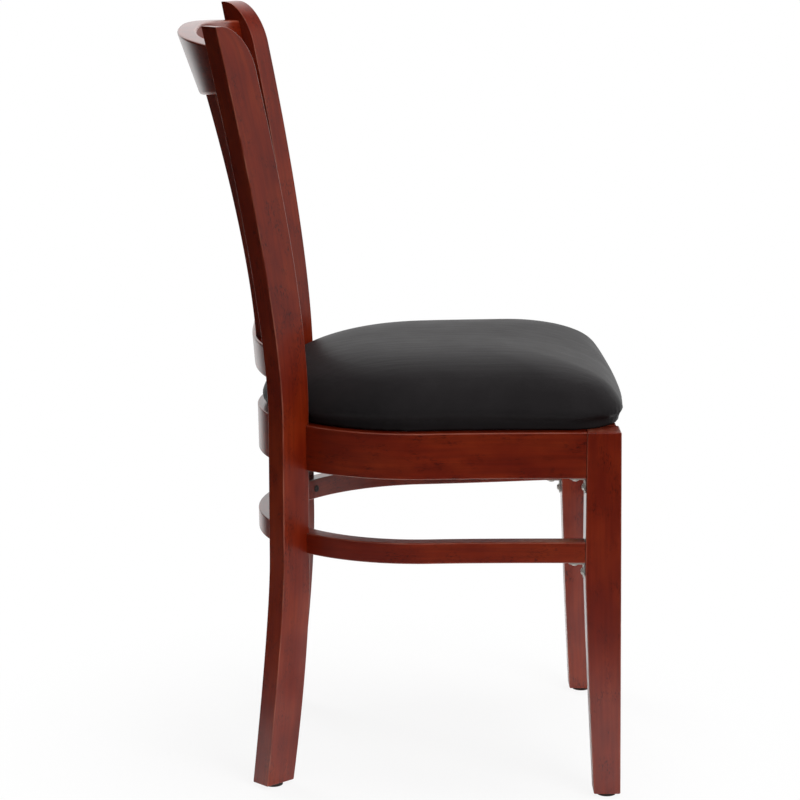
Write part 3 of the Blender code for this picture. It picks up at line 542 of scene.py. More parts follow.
def slat_turn(u):
    """Angle that a slat faces: to the hoops' centre, as the posts do."""
    return POST_ANGLE * u


def slat_middle(u, z):
    """Middle line of a slat: the bow of the posts between the two rails, a little stronger at its head."""
    low, high = LOWER_RAIL_TOP, top_rail_low(u)
    first_x, first_y = lower_rail_point(u, low, SLAT_SEAT_FROM_REAR_LOW)
    last_x, last_y = top_rail_point(u, high, SLAT_SEAT_FROM_REAR_TOP)
    share = (post_outer(z) - post_outer(low)) / (post_outer(high) - post_outer(low))
    share = np.maximum(share, 0) ** SLAT_BOW_POWER
    return lerp(first_x, last_x, share), lerp(first_y, last_y, share)


def back_slat(number):
    """A thin rounded bar along the bow; its ends run a little way into the rails."""
    u = 2 * number / (SLAT_COUNT + 1) - 1
    foot = LOWER_RAIL_TOP - SLAT_INTO_LOWER_RAIL
    head = top_rail_low(u) + SLAT_INTO_TOP_RAIL
    z = np.linspace(foot, head, SLAT_RINGS)[:, None]
    across, deep = rounded_ring(np.full(SLAT_RINGS, SLAT_WIDTH / 2), SLAT_THICK / 2, ARRIS)
    x, y = slat_middle(u, z)
    sin, cos = math.sin(slat_turn(u)), math.cos(slat_turn(u))
    rings = stack(x + across * cos + deep * sin, y - across * sin + deep * cos, z)
    return wooden(f"back_slat_{number}", rings, stack(z, across, deep))


# Seat


def seat_outline(foremost):
    """The cushion's plan: the hoops' plan drawn in, a bowed front and round corners, in even steps."""
    hoop_rear, outwards = hoop_arc(SEAT_ARC_POINTS)
    arc = hoop_rear - CUSHION_INSET * outwards
    corner_y = CUSHION_BOW + CUSHION_CORNER - foremost
    y = np.linspace(0, corner_y, SEAT_SIDE_POINTS)[1:]
    side = np.stack((hoop_side(y) - CUSHION_INSET, y), -1)
    corner_x = side[-1, 0] - CUSHION_CORNER
    turn = np.linspace(0, np.pi / 2, SEAT_CORNER_POINTS)[1:]
    quarter = np.stack((np.cos(turn), -np.sin(turn)), -1)
    corner = (corner_x, corner_y) + CUSHION_CORNER * quarter
    x = np.linspace(corner_x, 0, SEAT_FRONT_POINTS)[1:]
    front = np.stack((x, CUSHION_BOW * (x / corner_x) ** 2 - foremost), -1)
    left = np.concatenate((arc, side, corner, front))
    along = length_along(left)
    even = np.linspace(0, along[-1], SEAT_PLAN_POINTS + 1)
    left = np.stack([np.interp(even, along, left[:, i]) for i in (0, 1)], -1)
    return np.concatenate((left, left[-2:0:-1] * (-1, 1)))


def cushion_form():
    """The stuffed seat: its plan drawn in towards a peak behind the middle while a superellipse lifts it.

    The superellipse's powers go from the sides to the front and rear with the square of the plan's
    direction. Below the widest line the cover turns in smoothly, and stands upright again above the flat
    underside.
    """
    outline = seat_outline(STUFFED_FRONT)
    peak = np.array((0, (CUSHION_REACH - STUFFED_FRONT) / 2))
    ahead = (outline - peak)[:, 1] / np.linalg.norm(outline - peak, axis=-1)
    end = ahead**2
    end_power = np.where(ahead < 0, STUFFED_FRONT_POWER, STUFFED_REAR_POWER)
    end_top_power = np.where(ahead < 0, STUFFED_FRONT_TOP_POWER, STUFFED_REAR_TOP_POWER)
    side_power = lerp(STUFFED_SIDE_POWER, end_power, end)
    top_power = lerp(STUFFED_SIDE_TOP_POWER, end_top_power, end)
    widest = lerp(STUFFED_SIDE_WIDEST, STUFFED_END_WIDEST, end)
    tuck = lerp(STUFFED_SIDE_TUCK, STUFFED_END_TUCK, end) / CUSHION_REACH
    turn = np.linspace(0, np.pi / 2, CUSHION_TOP_RINGS + 1)[:-1, None]
    share = np.cos(turn) ** (2 / side_power)
    top = lerp(widest, STUFFED_CROWN, np.sin(turn) ** (2 / top_power))
    under = np.linspace(0, 1, CUSHION_SIDE_RINGS + 1)[:-1, None]
    out = np.clip((under - STUFFED_TUCK_SHARE) / (1 - STUFFED_TUCK_SHARE), 0, 1)
    low_share = 1 - tuck * (1 - out**2 * (3 - 2 * out))
    low = lerp(STUFFED_BOTTOM, widest, under)
    innermost = 0.1
    bottom_share = np.linspace(innermost, 1, CUSHION_BOTTOM_RINGS + 1)[:-1, None] * low_share[0]
    bottom = np.full_like(bottom_share, STUFFED_BOTTOM)
    reach = np.concatenate((bottom_share, low_share, share))
    z = np.concatenate((bottom, low, top))
    below = np.concatenate((bottom, low))
    back = np.concatenate((np.zeros_like(below), STUFFED_PEAK_BACK * (1 - share**2)))
    plan = peak + reach[..., None] * (outline - peak)
    return stack(plan[..., 0], plan[..., 1] + back, z)


def seat_height(points):
    """Height of points of the chair above the seat's raked plane."""
    y = points[:, 1] - CHAIR_SHIFT
    z = points[:, 2] - SEAT_TOP
    return z * math.cos(RAKE) + y * math.sin(RAKE)


def seat_cushion():
    """The vinyl seat: the stuffed form blown up as cloth, with its lower edge held on the board."""
    piece = skin("seat_cushion", to_chair(raked(cushion_form(), SEAT_TOP)))
    inflate(piece)
    smooth = piece.modifiers.new("soft", "SUBSURF")
    smooth.levels = 1
    smooth.render_levels = 1
    piece.data.shade_smooth()
    fit(piece, BLACK_VINYL, "black_vinyl", "seat_cover", "seat_foam")


def inflate(piece):
    """Blows the piece up as cloth under pressure.

    A point moves outwards only, by no more than the swell, and less towards the lower edge. The moves are
    evened out between neighbours.
    """
    bpy.context.view_layer.objects.active = piece
    piece.data.remesh_voxel_size = STUFFING_VOXEL
    piece.data.use_remesh_preserve_volume = True
    bpy.ops.object.voxel_remesh()
    count = len(piece.data.vertices) * 3
    start, normal, end = np.empty(count), np.empty(count), np.empty(count)
    piece.data.vertices.foreach_get("co", start)
    piece.data.vertices.foreach_get("normal", normal)
    cloth = piece.modifiers.new("stuffing", "CLOTH")
    cloth.settings.use_pressure = True
    cloth.settings.uniform_pressure_force = STUFFING_PRESSURE
    cloth.settings.effector_weights.gravity = 0
    scene = bpy.context.scene
    for step in range(1, STUFFING_FRAMES + 1):
        scene.frame_set(step)
    swollen = piece.evaluated_get(bpy.context.evaluated_depsgraph_get()).data
    swollen.vertices.foreach_get("co", end)
    piece.modifiers.remove(cloth)
    scene.frame_set(1)
    start, normal, end = (values.reshape(-1, 3) for values in (start, normal, end))
    free = np.clip(seat_height(start) / STUFFED_END_WIDEST, 0, 1)
    out = np.clip(np.sum((end - start) * normal, -1), 0, STUFFED_SWELL)
    edges = np.empty(len(piece.data.edges) * 2, int)
    piece.data.edges.foreach_get("vertices", edges)
    first, last = edges.reshape(-1, 2).T
    neighbours = np.bincount(edges, minlength=len(out))
    for _ in range(STUFFING_EVENINGS):
        ahead = np.bincount(first, out[last], len(out))
        behind = np.bincount(last, out[first], len(out))
        out = (ahead + behind) / neighbours
    out *= free**2
    piece.data.vertices.foreach_set("co", (start + out[:, None] * normal).ravel())
    piece.data.update()


def dust_cover():
    """Thin cloth under the board: the seat's plan drawn in, sagging to its middle and flat at its edge."""
    innermost = 0.02
    share = np.linspace(innermost, 1, DUST_COVER_RINGS)
    size = 1 - (CUSHION_TUCK + COVER_LIP + DUST_COVER_MARGIN) / CUSHION_REACH
    peak = np.array((0, (CUSHION_REACH - CUSHION_FRONT) / 2))
    edge = peak + size * (seat_outline(CUSHION_FRONT) - peak)
    plan = peak + share[:, None, None] * (edge - peak)
    z = DUST_COVER_TOP - DUST_COVER_SAG * (1 - share**2) ** 2
    upper = stack(plan[..., 0], plan[..., 1], z[:, None])
    lower = upper - (0, 0, DUST_COVER_THICK)
    rings = np.concatenate((upper, lower[::-1]))
    piece = skin("dust_cloth", to_chair(raked(rings, SEAT_TOP)))
    shade(piece)
    fit(piece, BLACK_NONWOVEN, "black_nonwoven", "dust_cover")


# Hardware


def screw_axis(node):
    """Where a screw's head meets the wood, which way it runs and how far.

    The way is the solid's long axis, and the head is its widest ring.
    """
    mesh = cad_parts[node].data
    points = np.empty(len(mesh.vertices) * 3)
    mesh.vertices.foreach_get("co", points)
    points = points.reshape(-1, 3)
    middle = (points.min(0) + points.max(0)) / 2
    way = np.linalg.svd(points - points.mean(0), full_matrices=False)[2][0]
    along = (points - middle) @ way
    off = np.linalg.norm(points - middle - along[:, None] * way, axis=-1)
    head = along[off > 0.98 * off.max()].mean()
    if head > along.mean():
        way, along, head = -way, -along, -head
    return middle + head * way, way, along.max() - head


def turned_rings(at, way, radius, height):
    """Circles about an axis.

    The radius, and the height along the way, may change from ring to ring and round a ring.
    """
    turn = np.linspace(0, 2 * np.pi, TURNED_POINTS, endpoint=False)
    aslant = (0.31, 0.52, 0.79)
    across = np.cross(way, aslant)
    across /= np.linalg.norm(across)
    other = np.cross(way, across)
    radius, height = np.broadcast_arrays(radius, height)
    ring = np.cos(turn)[:, None] * across + np.sin(turn)[:, None] * other
    return at + radius[..., None] * ring + height[..., None] * way


def wood_screw(node, round_head):
    """A cross-recessed wood screw: a flat or a domed head with a rounded rim, a cone and a tapered shank.

    The recess is a cross whose arms narrow outwards; it is deepest at the middle. The head of a screw in a
    hoop is thickened until it stands a little proud of the wood, because the fine hoops have no holes.
    """
    at, way, length = screw_axis(node)
    in_hoop = "hoop_screw" in node or "stretcher_screw" in node
    lift = HOOP_SCREW_LIFT if in_hoop else 0.0
    recess = HOOP_SCREW_RECESS if in_hoop else SCREW_RECESS
    innermost = 0.04
    share = np.linspace(innermost, 1, SCREW_FACE_RINGS)[:, None]
    turn = np.linspace(0, 2 * np.pi, TURNED_POINTS, endpoint=False)
    dome = SCREW_HEAD_HEIGHT * (1 - share**2) ** 0.5
    rise = dome if round_head else SCREW_CROWN * (1 - share**6)
    arm_width, arm_reach = 0.11, 0.62
    off_arm = np.abs(np.sin(2 * turn)) / 2 * share
    in_arm = np.clip(1 - off_arm / arm_width, 0, 1)
    cross = in_arm**0.5 * np.clip(1 - share / arm_reach, 0, 1) ** 0.5
    head_radius = np.broadcast_to(SCREW_HEAD_RADIUS * share, cross.shape)
    head_height = recess * cross - rise - lift
    neck = 0.0 if round_head else SCREW_HEAD_HEIGHT
    even = np.zeros(TURNED_POINTS)
    shank_radius = np.array((SCREW_RADIUS, SCREW_RADIUS, SCREW_POINT))[:, None] + even
    shank_height = np.array((neck, length - SCREW_TIP, length))[:, None] + even
    radius = np.concatenate((head_radius, shank_radius))
    height = np.concatenate((head_height, shank_height))
    piece = skin("fine_" + node, turned_rings(at, way, radius, height))
    shade(piece, 50)
    # Screws in the hoops get the dark finish: painted shade of the holes they sit in, which are not cut.
    if in_hoop:
        fit(piece, BLACK_ZINC_AND_HOLE_SHADE, "zinc_plated_steel", node)
    else:
        fit(piece, ZINC, "zinc_plated_steel", node)


def angle_bracket(node):
    """A strip of pressed steel in the corner under a hoop: a strip with round ends along a bent L."""
    low, high = (np.array(corner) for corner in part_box(node))
    arm = high[1] - low[1]
    turn = np.linspace(0, np.pi / 2, BRACKET_BEND_RINGS)
    middle = BRACKET_THICK / 2
    inner = BRACKET_BEND
    down = np.linspace(arm, inner + middle, BRACKET_ARM_RINGS + 1)[:-1]
    flat = np.full_like(down, middle)
    path_y = np.concatenate((flat, inner + middle - inner * np.cos(turn), down[::-1]))
    path_z = np.concatenate((-down, -inner - middle + inner * np.sin(turn), -flat))
    tangent_y, tangent_z = np.gradient(path_y), np.gradient(path_z)
    size = np.hypot(tangent_y, tangent_z)
    end = np.minimum(np.abs(path_z + arm), np.abs(arm - path_y))
    width = high[0] - low[0]
    corner = width * BRACKET_CORNER_SHARE
    round_end = corner - np.sqrt(np.maximum(corner**2 - (corner - end) ** 2, 0))
    narrow = np.where(end < corner, round_end, 0)
    across, deep = rounded_ring(width / 2 - narrow, np.full_like(narrow, middle), BRACKET_ARRIS)
    y = low[1] + path_y[:, None] - deep * (tangent_z / size)[:, None]
    z = high[2] + path_z[:, None] + deep * (tangent_y / size)[:, None] - (y - low[1]) * math.tan(RAKE)
    piece = skin("bent_" + node, stack((low[0] + high[0]) / 2 + across, y, z))
    shade(piece, 50)
    fit(piece, ZINC, "zinc_plated_steel", node)


def floor_glide(node):
    """A moulded button under a foot: a disc with a rounded rim and a shallow dished sole, on its nail."""
    low, high = (np.array(corner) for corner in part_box(node))
    at = np.array(((low[0] + high[0]) / 2, (low[1] + high[1]) / 2, 0))
    turn = np.linspace(0, np.pi / 2, GLIDE_EDGE_RINGS)
    rim = GLIDE_RADIUS - GLIDE_EDGE
    side = rim + GLIDE_SHOULDER
    radius = np.concatenate((
        (GLIDE_NAIL_RADIUS, GLIDE_NAIL_RADIUS, rim),
        rim + GLIDE_SHOULDER * np.sin(turn),
        (side,),
        GLIDE_RADIUS - GLIDE_EDGE * (1 - np.cos(turn)),
        (GLIDE_DISH_RADIUS, 0.75 * GLIDE_DISH_RADIUS, 0.001),
    ))
    height = np.concatenate((
        (high[2], GLIDE_HEIGHT, GLIDE_HEIGHT),
        GLIDE_HEIGHT - GLIDE_SHOULDER * (1 - np.cos(turn)),
        (GLIDE_SIDE_FOOT,),
        GLIDE_EDGE * (1 - np.sin(turn)),
        (0.0, GLIDE_DISH_DEPTH, GLIDE_DISH_DEPTH),
    ))
    even = np.zeros(TURNED_POINTS)
    radius, height = radius[:, None] + even, height[:, None] + even
    piece = skin("moulded_" + node, turned_rings(at, np.array((0, 0, 1)), radius, height))
    shade(piece, 50)
    fit(piece, GLIDE_PLASTIC, "grey_polypropylene", node)


def hardware():
    """Puts the fine screws, brackets and glides in place of the solids of those names."""
    for node in list(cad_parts):
        if "screw" in node:
            wood_screw(node, round_head="bracket" in node)
        elif "bracket" in node:
            angle_bracket(node)
        elif "glide" in node:
            floor_glide(node)


# Materials


def linear(code):
    """An sRGB hex colour as linear values."""
    values = np.array([int(code[i : i + 2], 16) for i in (1, 3, 5)]) / 255
    low = values / 12.92
    high = ((values + 0.055) / 1.055) ** 2.4
    return (*np.where(values <= 0.04045, low, high), 1)


def add(tree, kind, settings=None, **links):
    """Adds a node with its settings and input values; an input given as a socket is linked."""
    node = tree.nodes.new(kind)
    for name, value in (settings or {}).items():
        setattr(node, name, value)
    for name, value in links.items():
        key = int(name[1:]) if name[0] == "i" and name[1:].isdigit() else name.replace("_", " ")
        socket = node.inputs[key]
        if isinstance(value, bpy.types.NodeSocket):
            tree.links.new(value, socket)
        else:
            socket.default_value = value
    return node


def ramp(tree, factor, stops):
    """A colour that goes through stops, each a place and a colour, as a factor goes from 0 to 1."""
    node = add(tree, "ShaderNodeValToRGB", Fac=factor)
    elements = node.color_ramp.elements
    while len(elements) < len(stops):
        elements.new(0.5)
    for element, (place, colour) in zip(elements, stops):
        element.position = place
        element.color = colour
    return node.outputs["Color"]


def new_material(name):
    """A new material with its node tree and its shader."""
    material = bpy.data.materials.new(name)
    material.use_nodes = True
    tree = material.node_tree
    return material, tree, tree.nodes["Principled BSDF"]


def stretched(tree, vector, lengths_mm):
    """Coordinates in which a pattern's unit is so many millimetres long in each direction."""
    scale = tuple(1000 / length for length in lengths_mm)
    return add(tree, "ShaderNodeMapping", Vector=vector, Scale=scale).outputs["Vector"]


def stained_beech():
    """Steamed beech, sanded, stained mahogany and sprayed with semi-gloss lacquer.

    The eye sees an even deep red brown that clouds a little, faint streaks along the grain, clusters of
    short dark ray flecks where the stain has gathered, arrises painted lighter in broken lines as a
    painted highlight, and clear soft reflections in the lacquer.
    """
    material, tree, shader = new_material("stained_beech")
    grain = add(tree, "ShaderNodeAttribute", {"attribute_name": "grain"}).outputs["Vector"]
    arris = add(tree, "ShaderNodeAttribute", {"attribute_name": "arris"}).outputs["Fac"]
    cloud = add(tree, "ShaderNodeTexNoise", Scale=1.0, Detail=3.0,
                Vector=stretched(tree, grain, (70, 30, 30)))
    streak = add(tree, "ShaderNodeTexNoise", Scale=1.0, Detail=4.0,
                 Vector=stretched(tree, grain, (80, 3, 3)))
    fleck = add(tree, "ShaderNodeTexNoise", Scale=1.0, Detail=1.0,
                Vector=stretched(tree, grain, (4.5, 1.3, 1.3)))
    patch = add(tree, "ShaderNodeTexNoise", Scale=1.0, Detail=2.0,
                Vector=stretched(tree, grain, (30, 18, 18)))
    base = ramp(tree, cloud.outputs["Fac"], (
        (0.32, linear("#661604")), (0.50, linear("#721E06")), (0.70, linear("#7E280A"))))
    streaks = ramp(tree, streak.outputs["Fac"], ((0.35, linear("#E4DCD8")), (0.62, linear("#FFFFFF"))))
    clusters = add(tree, "ShaderNodeMapRange", Value=patch.outputs["Fac"], From_Min=0.48, From_Max=0.66)
    flecks = ramp(tree, fleck.outputs["Fac"], ((0.36, linear("#A88E86")), (0.48, linear("#FFFFFF"))))
    streaked = add(tree, "ShaderNodeMix", {"data_type": "RGBA", "blend_type": "MULTIPLY"},
                   i0=1.0, i6=base, i7=streaks).outputs[2]
    flecked = add(tree, "ShaderNodeMix", {"data_type": "RGBA", "blend_type": "MULTIPLY"},
                  i0=clusters.outputs["Result"], i6=streaked, i7=flecks).outputs[2]
    rub = add(tree, "ShaderNodeTexNoise", Scale=1.0, Detail=3.0,
              Vector=stretched(tree, grain, (25, 6, 6)))
    rubbed = add(tree, "ShaderNodeMapRange", Value=rub.outputs["Fac"], From_Min=0.35, From_Max=0.7,
                 To_Min=0.1, To_Max=0.55)
    painted_arris_highlight = add(tree, "ShaderNodeMath", {"operation": "MULTIPLY"}, i0=arris, i1=rubbed.outputs["Result"])
    # Painted highlight: the arrises are mixed towards a paler colour in broken lines, where the lacquered
    # edges would catch the light.
    colour = add(tree, "ShaderNodeMix", {"data_type": "RGBA"},
                 i0=painted_arris_highlight.outputs["Value"], i6=flecked, i7=linear("#B0705C")).outputs[2]
    tree.links.new(colour, shader.inputs["Base Color"])
    bump = add(tree, "ShaderNodeBump", Height=streak.outputs["Fac"], Strength=0.04, Distance=0.0005)
    tree.links.new(bump.outputs["Normal"], shader.inputs["Normal"])
    shader.inputs["Roughness"].default_value = 0.30
    shader.inputs["IOR"].default_value = 1.5
    shader.inputs["Coat Weight"].default_value = 0.4
    shader.inputs["Coat Roughness"].default_value = 0.10
    return material


def black_vinyl():
    """Calendered PVC upholstery cloth: near black, a soft sheen, faint creases and a fine pebbled grain.

    The grain is about 0.8 mm across on the real cloth and is drawn at 1.4 mm so that it shows.
    """
    material, tree, shader = new_material("black_vinyl")
    place = add(tree, "ShaderNodeTexCoord").outputs["Object"]
    pebble = add(tree, "ShaderNodeTexVoronoi", {"feature": "SMOOTH_F1"},
                 Vector=stretched(tree, place, (1.4, 1.4, 1.4)), Scale=1.0, Smoothness=0.6)
    cloud = add(tree, "ShaderNodeTexNoise", Scale=1.0, Detail=3.0,
                Vector=stretched(tree, place, (35, 35, 35)))
    colour = ramp(tree, cloud.outputs["Fac"], ((0.3, linear("#232122")), (0.7, linear("#272526"))))
    tree.links.new(colour, shader.inputs["Base Color"])
    rough = add(tree, "ShaderNodeMapRange", Value=cloud.outputs["Fac"], To_Min=0.36, To_Max=0.46)
    tree.links.new(rough.outputs["Result"], shader.inputs["Roughness"])
    crease = add(tree, "ShaderNodeTexNoise", Scale=1.0, Detail=2.0,
                 Vector=stretched(tree, place, (9, 80, 9)))
    creased = add(tree, "ShaderNodeBump", Height=crease.outputs["Fac"], Strength=0.14, Distance=0.002)
    bump = add(tree, "ShaderNodeBump", Height=pebble.outputs["Distance"], Strength=0.12, Distance=0.0006,
               Normal=creased.outputs["Normal"])
    tree.links.new(bump.outputs["Normal"], shader.inputs["Normal"])
    shader.inputs["IOR"].default_value = 1.5
    shader.inputs["Specular IOR Level"].default_value = 0.045
    return material


def bare_beech():
    """Planed beech with no finish: pale pink brown with fine streaks and short ray flecks."""
    material, tree, shader = new_material("bare_beech")
    place = add(tree, "ShaderNodeTexCoord").outputs["Object"]
    streak = add(tree, "ShaderNodeTexNoise", Scale=1.0, Detail=4.0,
                 Vector=stretched(tree, place, (40, 2, 2)))
    fleck = add(tree, "ShaderNodeTexNoise", Scale=1.0, Detail=2.0,
                Vector=stretched(tree, place, (4, 0.8, 0.8)))
    base = ramp(tree, streak.outputs["Fac"], ((0.3, linear("#B98F66")), (0.7, linear("#D2AC84"))))
    flecks = ramp(tree, fleck.outputs["Fac"], ((0.32, linear("#B09A86")), (0.45, linear("#FFFFFF"))))
    colour = add(tree, "ShaderNodeMix", {"data_type": "RGBA", "blend_type": "MULTIPLY"},
                 i0=0.7, i6=base, i7=flecks)
    tree.links.new(colour.outputs[2], shader.inputs["Base Color"])
    shader.inputs["Roughness"].default_value = 0.6
    return material


def plywood():
    """Sanded birch plywood: broad rotary-cut figure on its faces."""
    material, tree, shader = new_material("plywood")
    place = add(tree, "ShaderNodeTexCoord").outputs["Object"]
    figure = add(tree, "ShaderNodeTexNoise", Scale=1.0, Detail=5.0,
                 Vector=stretched(tree, place, (14, 120, 14)))
    colour = ramp(tree, figure.outputs["Fac"], ((0.35, linear("#B48A5C")), (0.65, linear("#CDA676"))))
    tree.links.new(colour, shader.inputs["Base Color"])
    shader.inputs["Roughness"].default_value = 0.62
    return material


def black_nonwoven():
    """Spunbond polypropylene cloth: matt black with a close pattern of pressed dots, drawn at 2 mm."""
    material, tree, shader = new_material("black_nonwoven")
    place = add(tree, "ShaderNodeTexCoord").outputs["Object"]
    dots = add(tree, "ShaderNodeTexVoronoi", Scale=1.0, Randomness=0.15,
               Vector=stretched(tree, place, (2, 2, 2)))
    colour = ramp(tree, dots.outputs["Distance"], ((0.2, linear("#0E0E0E")), (0.5, linear("#1E1E1E"))))
    tree.links.new(colour, shader.inputs["Base Color"])
    bump = add(tree, "ShaderNodeBump", Height=dots.outputs["Distance"], Strength=0.3, Distance=0.0004)
    tree.links.new(bump.outputs["Normal"], shader.inputs["Normal"])
    shader.inputs["Roughness"].default_value = 0.85
    return material


def zinc_plated_steel():
    """Pressed steel with a bright zinc plate: grey, slightly clouded, softly reflecting."""
    material, tree, shader = new_material("zinc_plated_steel")
    place = add(tree, "ShaderNodeTexCoord").outputs["Object"]
    cloud = add(tree, "ShaderNodeTexNoise", Scale=1.0, Detail=3.0,
                Vector=stretched(tree, place, (4, 4, 4)))
    colour = ramp(tree, cloud.outputs["Fac"], ((0.3, linear("#C4C2BC")), (0.7, linear("#DCDAD4"))))
    tree.links.new(colour, shader.inputs["Base Color"])
    rough = add(tree, "ShaderNodeMapRange", Value=cloud.outputs["Fac"], To_Min=0.34, To_Max=0.50)
    tree.links.new(rough.outputs["Result"], shader.inputs["Roughness"])
    shader.inputs["Metallic"].default_value = 0.8
    return material


def black_zinc_and_hole_shade():
    """Steel screws, black passivated zinc plate: dull charcoal as painted shade of their holes, paler
    where rubbed.
    """
    material, tree, shader = new_material("black_zinc_and_hole_shade")
    place = add(tree, "ShaderNodeTexCoord").outputs["Object"]
    rub = add(tree, "ShaderNodeTexNoise", Scale=1.0, Detail=2.0,
              Vector=stretched(tree, place, (1.2, 1.2, 1.2)))
    colour = ramp(tree, rub.outputs["Fac"], ((0.4, linear("#1C1716")), (0.7, linear("#3A3331"))))
    tree.links.new(colour, shader.inputs["Base Color"])
    shader.inputs["Roughness"].default_value = 0.5
    shader.inputs["Metallic"].default_value = 0.3
    return material


def dark_polypropylene():
    """Moulded polypropylene of the glides: dark grey brown, faintly grained and scuffed."""
    material, tree, shader = new_material("dark_polypropylene")
    place = add(tree, "ShaderNodeTexCoord").outputs["Object"]
    scuff = add(tree, "ShaderNodeTexNoise", Scale=1.0, Detail=4.0,
                Vector=stretched(tree, place, (1.5, 1.5, 1.5)))
    colour = ramp(tree, scuff.outputs["Fac"], ((0.3, linear("#2A2320")), (0.7, linear("#3A322E"))))
    tree.links.new(colour, shader.inputs["Base Color"])
    rough = add(tree, "ShaderNodeMapRange", Value=scuff.outputs["Fac"], To_Min=0.4, To_Max=0.6)
    tree.links.new(rough.outputs["Result"], shader.inputs["Roughness"])
    return material


STAINED_BEECH = stained_beech()
BLACK_VINYL = black_vinyl()
BARE_BEECH = bare_beech()
PLYWOOD = plywood()
BLACK_NONWOVEN = black_nonwoven()
ZINC = zinc_plated_steel()
BLACK_ZINC_AND_HOLE_SHADE = black_zinc_and_hole_shade()
GLIDE_PLASTIC = dark_polypropylene()


def finish_solids():
    """Gives the solids that stay in sight their finish."""
    for name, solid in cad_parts.items():
        if "block" in name or "dowel" in name:
            solid.data.materials.clear()
            solid.data.materials.append(BARE_BEECH)
        elif name == "seat_board":
            solid.data.materials.clear()
            solid.data.materials.append(PLYWOOD)


# Studio


def smooth_share(tree, value, low, high, first=0.0, last=1.0):
    """Goes smoothly from first to last while a value goes from low to high."""
    node = add(tree, "ShaderNodeMapRange", {"interpolation_type": "SMOOTHSTEP"}, Value=value,
               From_Min=low, From_Max=high, To_Min=first, To_Max=last)
    return node.outputs["Result"]


def joined(tree, operation, first, second):
    """Two values put together by an operation."""
    return add(tree, "ShaderNodeMath", {"operation": operation}, i0=first, i1=second).outputs["Value"]


def studio():
    """A white set in a dark room, with large soft lamps in front, overhead and behind.

    A weak one on the floor stands for the light that a larger white floor would throw back.
    """
    bpy.context.scene.view_settings.view_transform = "Standard"
    white_room()
    white_floor()
    lamp("key", (-2.3, -1.6, 2.0), 60, 1.6)
    lamp("overhead", (0.1, -0.3, 2.9), 48, 1.8)
    lamp("floor bounce", (0, 0, 0.002), 4.6, 1.5)
    lamp("back", (2.3, 1.8, 1.9), 45, 1.6)


def white_room():
    """The world: white to the camera.

    Shiny surfaces see a white backdrop beyond the chair, dimmer ones in front and on the near side, the
    bright floor below and a dark room elsewhere. Other surfaces get a little of the same light.
    """
    world = bpy.data.worlds.new("studio")
    bpy.context.scene.world = world
    world.use_nodes = True
    tree = world.node_tree
    tree.nodes.clear()
    way = add(tree, "ShaderNodeTexCoord").outputs["Generated"]
    axes = add(tree, "ShaderNodeSeparateXYZ", Vector=way).outputs
    beyond = smooth_share(tree, axes["X"], 0.35, 0.8)
    not_behind = smooth_share(tree, axes["Y"], 0.60, 0.32)
    not_low = smooth_share(tree, axes["Z"], -0.42, -0.26)
    backdrop = joined(tree, "MULTIPLY", beyond, joined(tree, "MULTIPLY", not_behind, not_low))
    front = smooth_share(tree, axes["Y"], -0.5, -0.95, 0.015, 0.45)
    below = smooth_share(tree, axes["Z"], -0.5, -0.8, 0.0, 0.8)
    near = smooth_share(tree, axes["X"], -0.35, -0.8)
    opposite = joined(tree, "MULTIPLY", near, smooth_share(tree, axes["Z"], 0.02, 0.16, 0.0, 0.7))
    around = joined(tree, "MAXIMUM", backdrop, opposite)
    seen = joined(tree, "MAXIMUM", around, joined(tree, "MAXIMUM", front, below))
    path = add(tree, "ShaderNodeLightPath").outputs
    mirrored = joined(tree, "MAXIMUM", path["Is Glossy Ray"], path["Is Transmission Ray"])
    level = smooth_share(tree, mirrored, 0.0, 1.0, 0.25, 1.0)
    strength = add(tree, "ShaderNodeMix", {"data_type": "FLOAT"},
                   i0=path["Is Camera Ray"], i2=joined(tree, "MULTIPLY", seen, level), i3=1.0)
    light = add(tree, "ShaderNodeBackground", Color=(1, 1, 1, 1), Strength=strength.outputs[0])
    add(tree, "ShaderNodeOutputWorld", Surface=light.outputs["Background"])


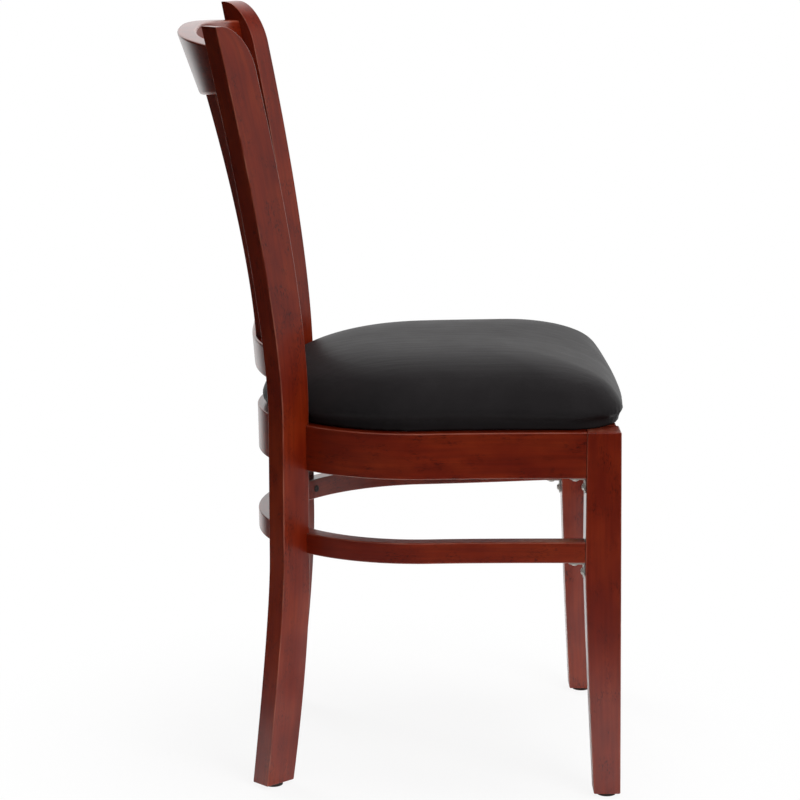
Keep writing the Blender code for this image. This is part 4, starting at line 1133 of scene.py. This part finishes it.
def white_floor():
    """The floor: white to the camera but for the chair's shadow; a painted pool of light, pale near the
    chair alone.

    Shiny surfaces see only that bright part of it, so the lacquer pales towards the feet.
    """
    mesh = bpy.data.meshes.new("floor")
    reach = 60.0
    corners = [(-reach, -reach, 0), (reach, -reach, 0), (reach, reach, 0), (-reach, reach, 0)]
    mesh.from_pydata(corners, [], [(0, 1, 2, 3)])
    floor = bpy.data.objects.new("floor", mesh)
    bpy.context.scene.collection.objects.link(floor)
    material, tree, shader = new_material("white_floor")
    shader.inputs["Roughness"].default_value = 0.9
    place = add(tree, "ShaderNodeTexCoord").outputs["Object"]
    distance = add(tree, "ShaderNodeVectorMath", {"operation": "LENGTH"}, i0=place).outputs["Value"]
    # Painted pool of light: the floor's colour goes from pale near the chair to near black further out, so
    # only the near part throws light back.
    bright_to, dark_from = 0.60, 1.05
    grey = smooth_share(tree, distance, bright_to, dark_from, 0.93, 0.04)
    tree.links.new(grey, shader.inputs["Base Color"])
    white = add(tree, "ShaderNodeEmission", Color=(1, 1, 1, 1), Strength=1.0)
    path = add(tree, "ShaderNodeLightPath").outputs
    shadowless = smooth_share(tree, distance, 0.20, 0.60, 0.88, 1.0)
    share = joined(tree, "MULTIPLY", path["Is Camera Ray"], shadowless)
    mixed = add(tree, "ShaderNodeMixShader",
                i0=share, i1=shader.outputs["BSDF"], i2=white.outputs["Emission"])
    beyond = smooth_share(tree, distance, bright_to, 1.00)
    far = joined(tree, "MULTIPLY", path["Is Glossy Ray"], beyond)
    unseen = add(tree, "ShaderNodeBsdfTransparent").outputs["BSDF"]
    faded = add(tree, "ShaderNodeMixShader", i0=far, i1=mixed.outputs["Shader"], i2=unseen)
    tree.links.new(faded.outputs["Shader"], tree.nodes["Material Output"].inputs["Surface"])
    mesh.materials.append(material)


def lamp(name, place, power, size):
    """A square soft lamp of so many watts, aimed at the chair's middle and seen by no reflection."""
    data = bpy.data.lights.new(name, "AREA")
    data.energy = power
    data.size = size
    light = bpy.data.objects.new(name, data)
    light.location = place
    way = Vector(LIGHTS_AIM) - Vector(place)
    light.rotation_euler = way.to_track_quat("-Z", "Y").to_euler()
    light.visible_camera = False
    light.visible_glossy = False
    bpy.context.scene.collection.objects.link(light)


def camera():
    """The photograph's view, from the sitter's right and a little above."""
    data = bpy.data.cameras.new("camera")
    data.lens = CAMERA_LENS_MM
    data.sensor_width = CAMERA_SENSOR_MM
    view = bpy.data.objects.new("camera", data)
    bpy.context.scene.collection.objects.link(view)
    view.location = CAMERA_PLACE
    level = math.cos(CAMERA_PITCH)
    look = Vector((level * math.cos(CAMERA_YAW), -level * math.sin(CAMERA_YAW), -math.sin(CAMERA_PITCH)))
    view.rotation_euler = look.to_track_quat("-Z", "Y").to_euler()
    bpy.context.scene.camera = view


camera()
studio()
for each_side in (RIGHT, LEFT):
    rear_post(each_side)
    front_leg(each_side)
front_seat_rail()
hoop("seat_hoop", SEAT_HOOP_THICK, SEAT_HOOP_HEIGHT, SEAT_TOP)
hoop("stretcher_hoop", STRETCHER_THICK, STRETCHER_HEIGHT, STRETCHER_TOP)
back_rail("top_rail", top_rail_point, TOP_RAIL_THICK, top_rail_low, top_rail_high)
back_rail("lower_back_rail", lower_rail_point, LOWER_RAIL_THICK, lower_rail_low, lower_rail_high)
for slat in range(1, SLAT_COUNT + 1):
    back_slat(slat)
seat_cushion()
dust_cover()
hardware()
finish_solids()
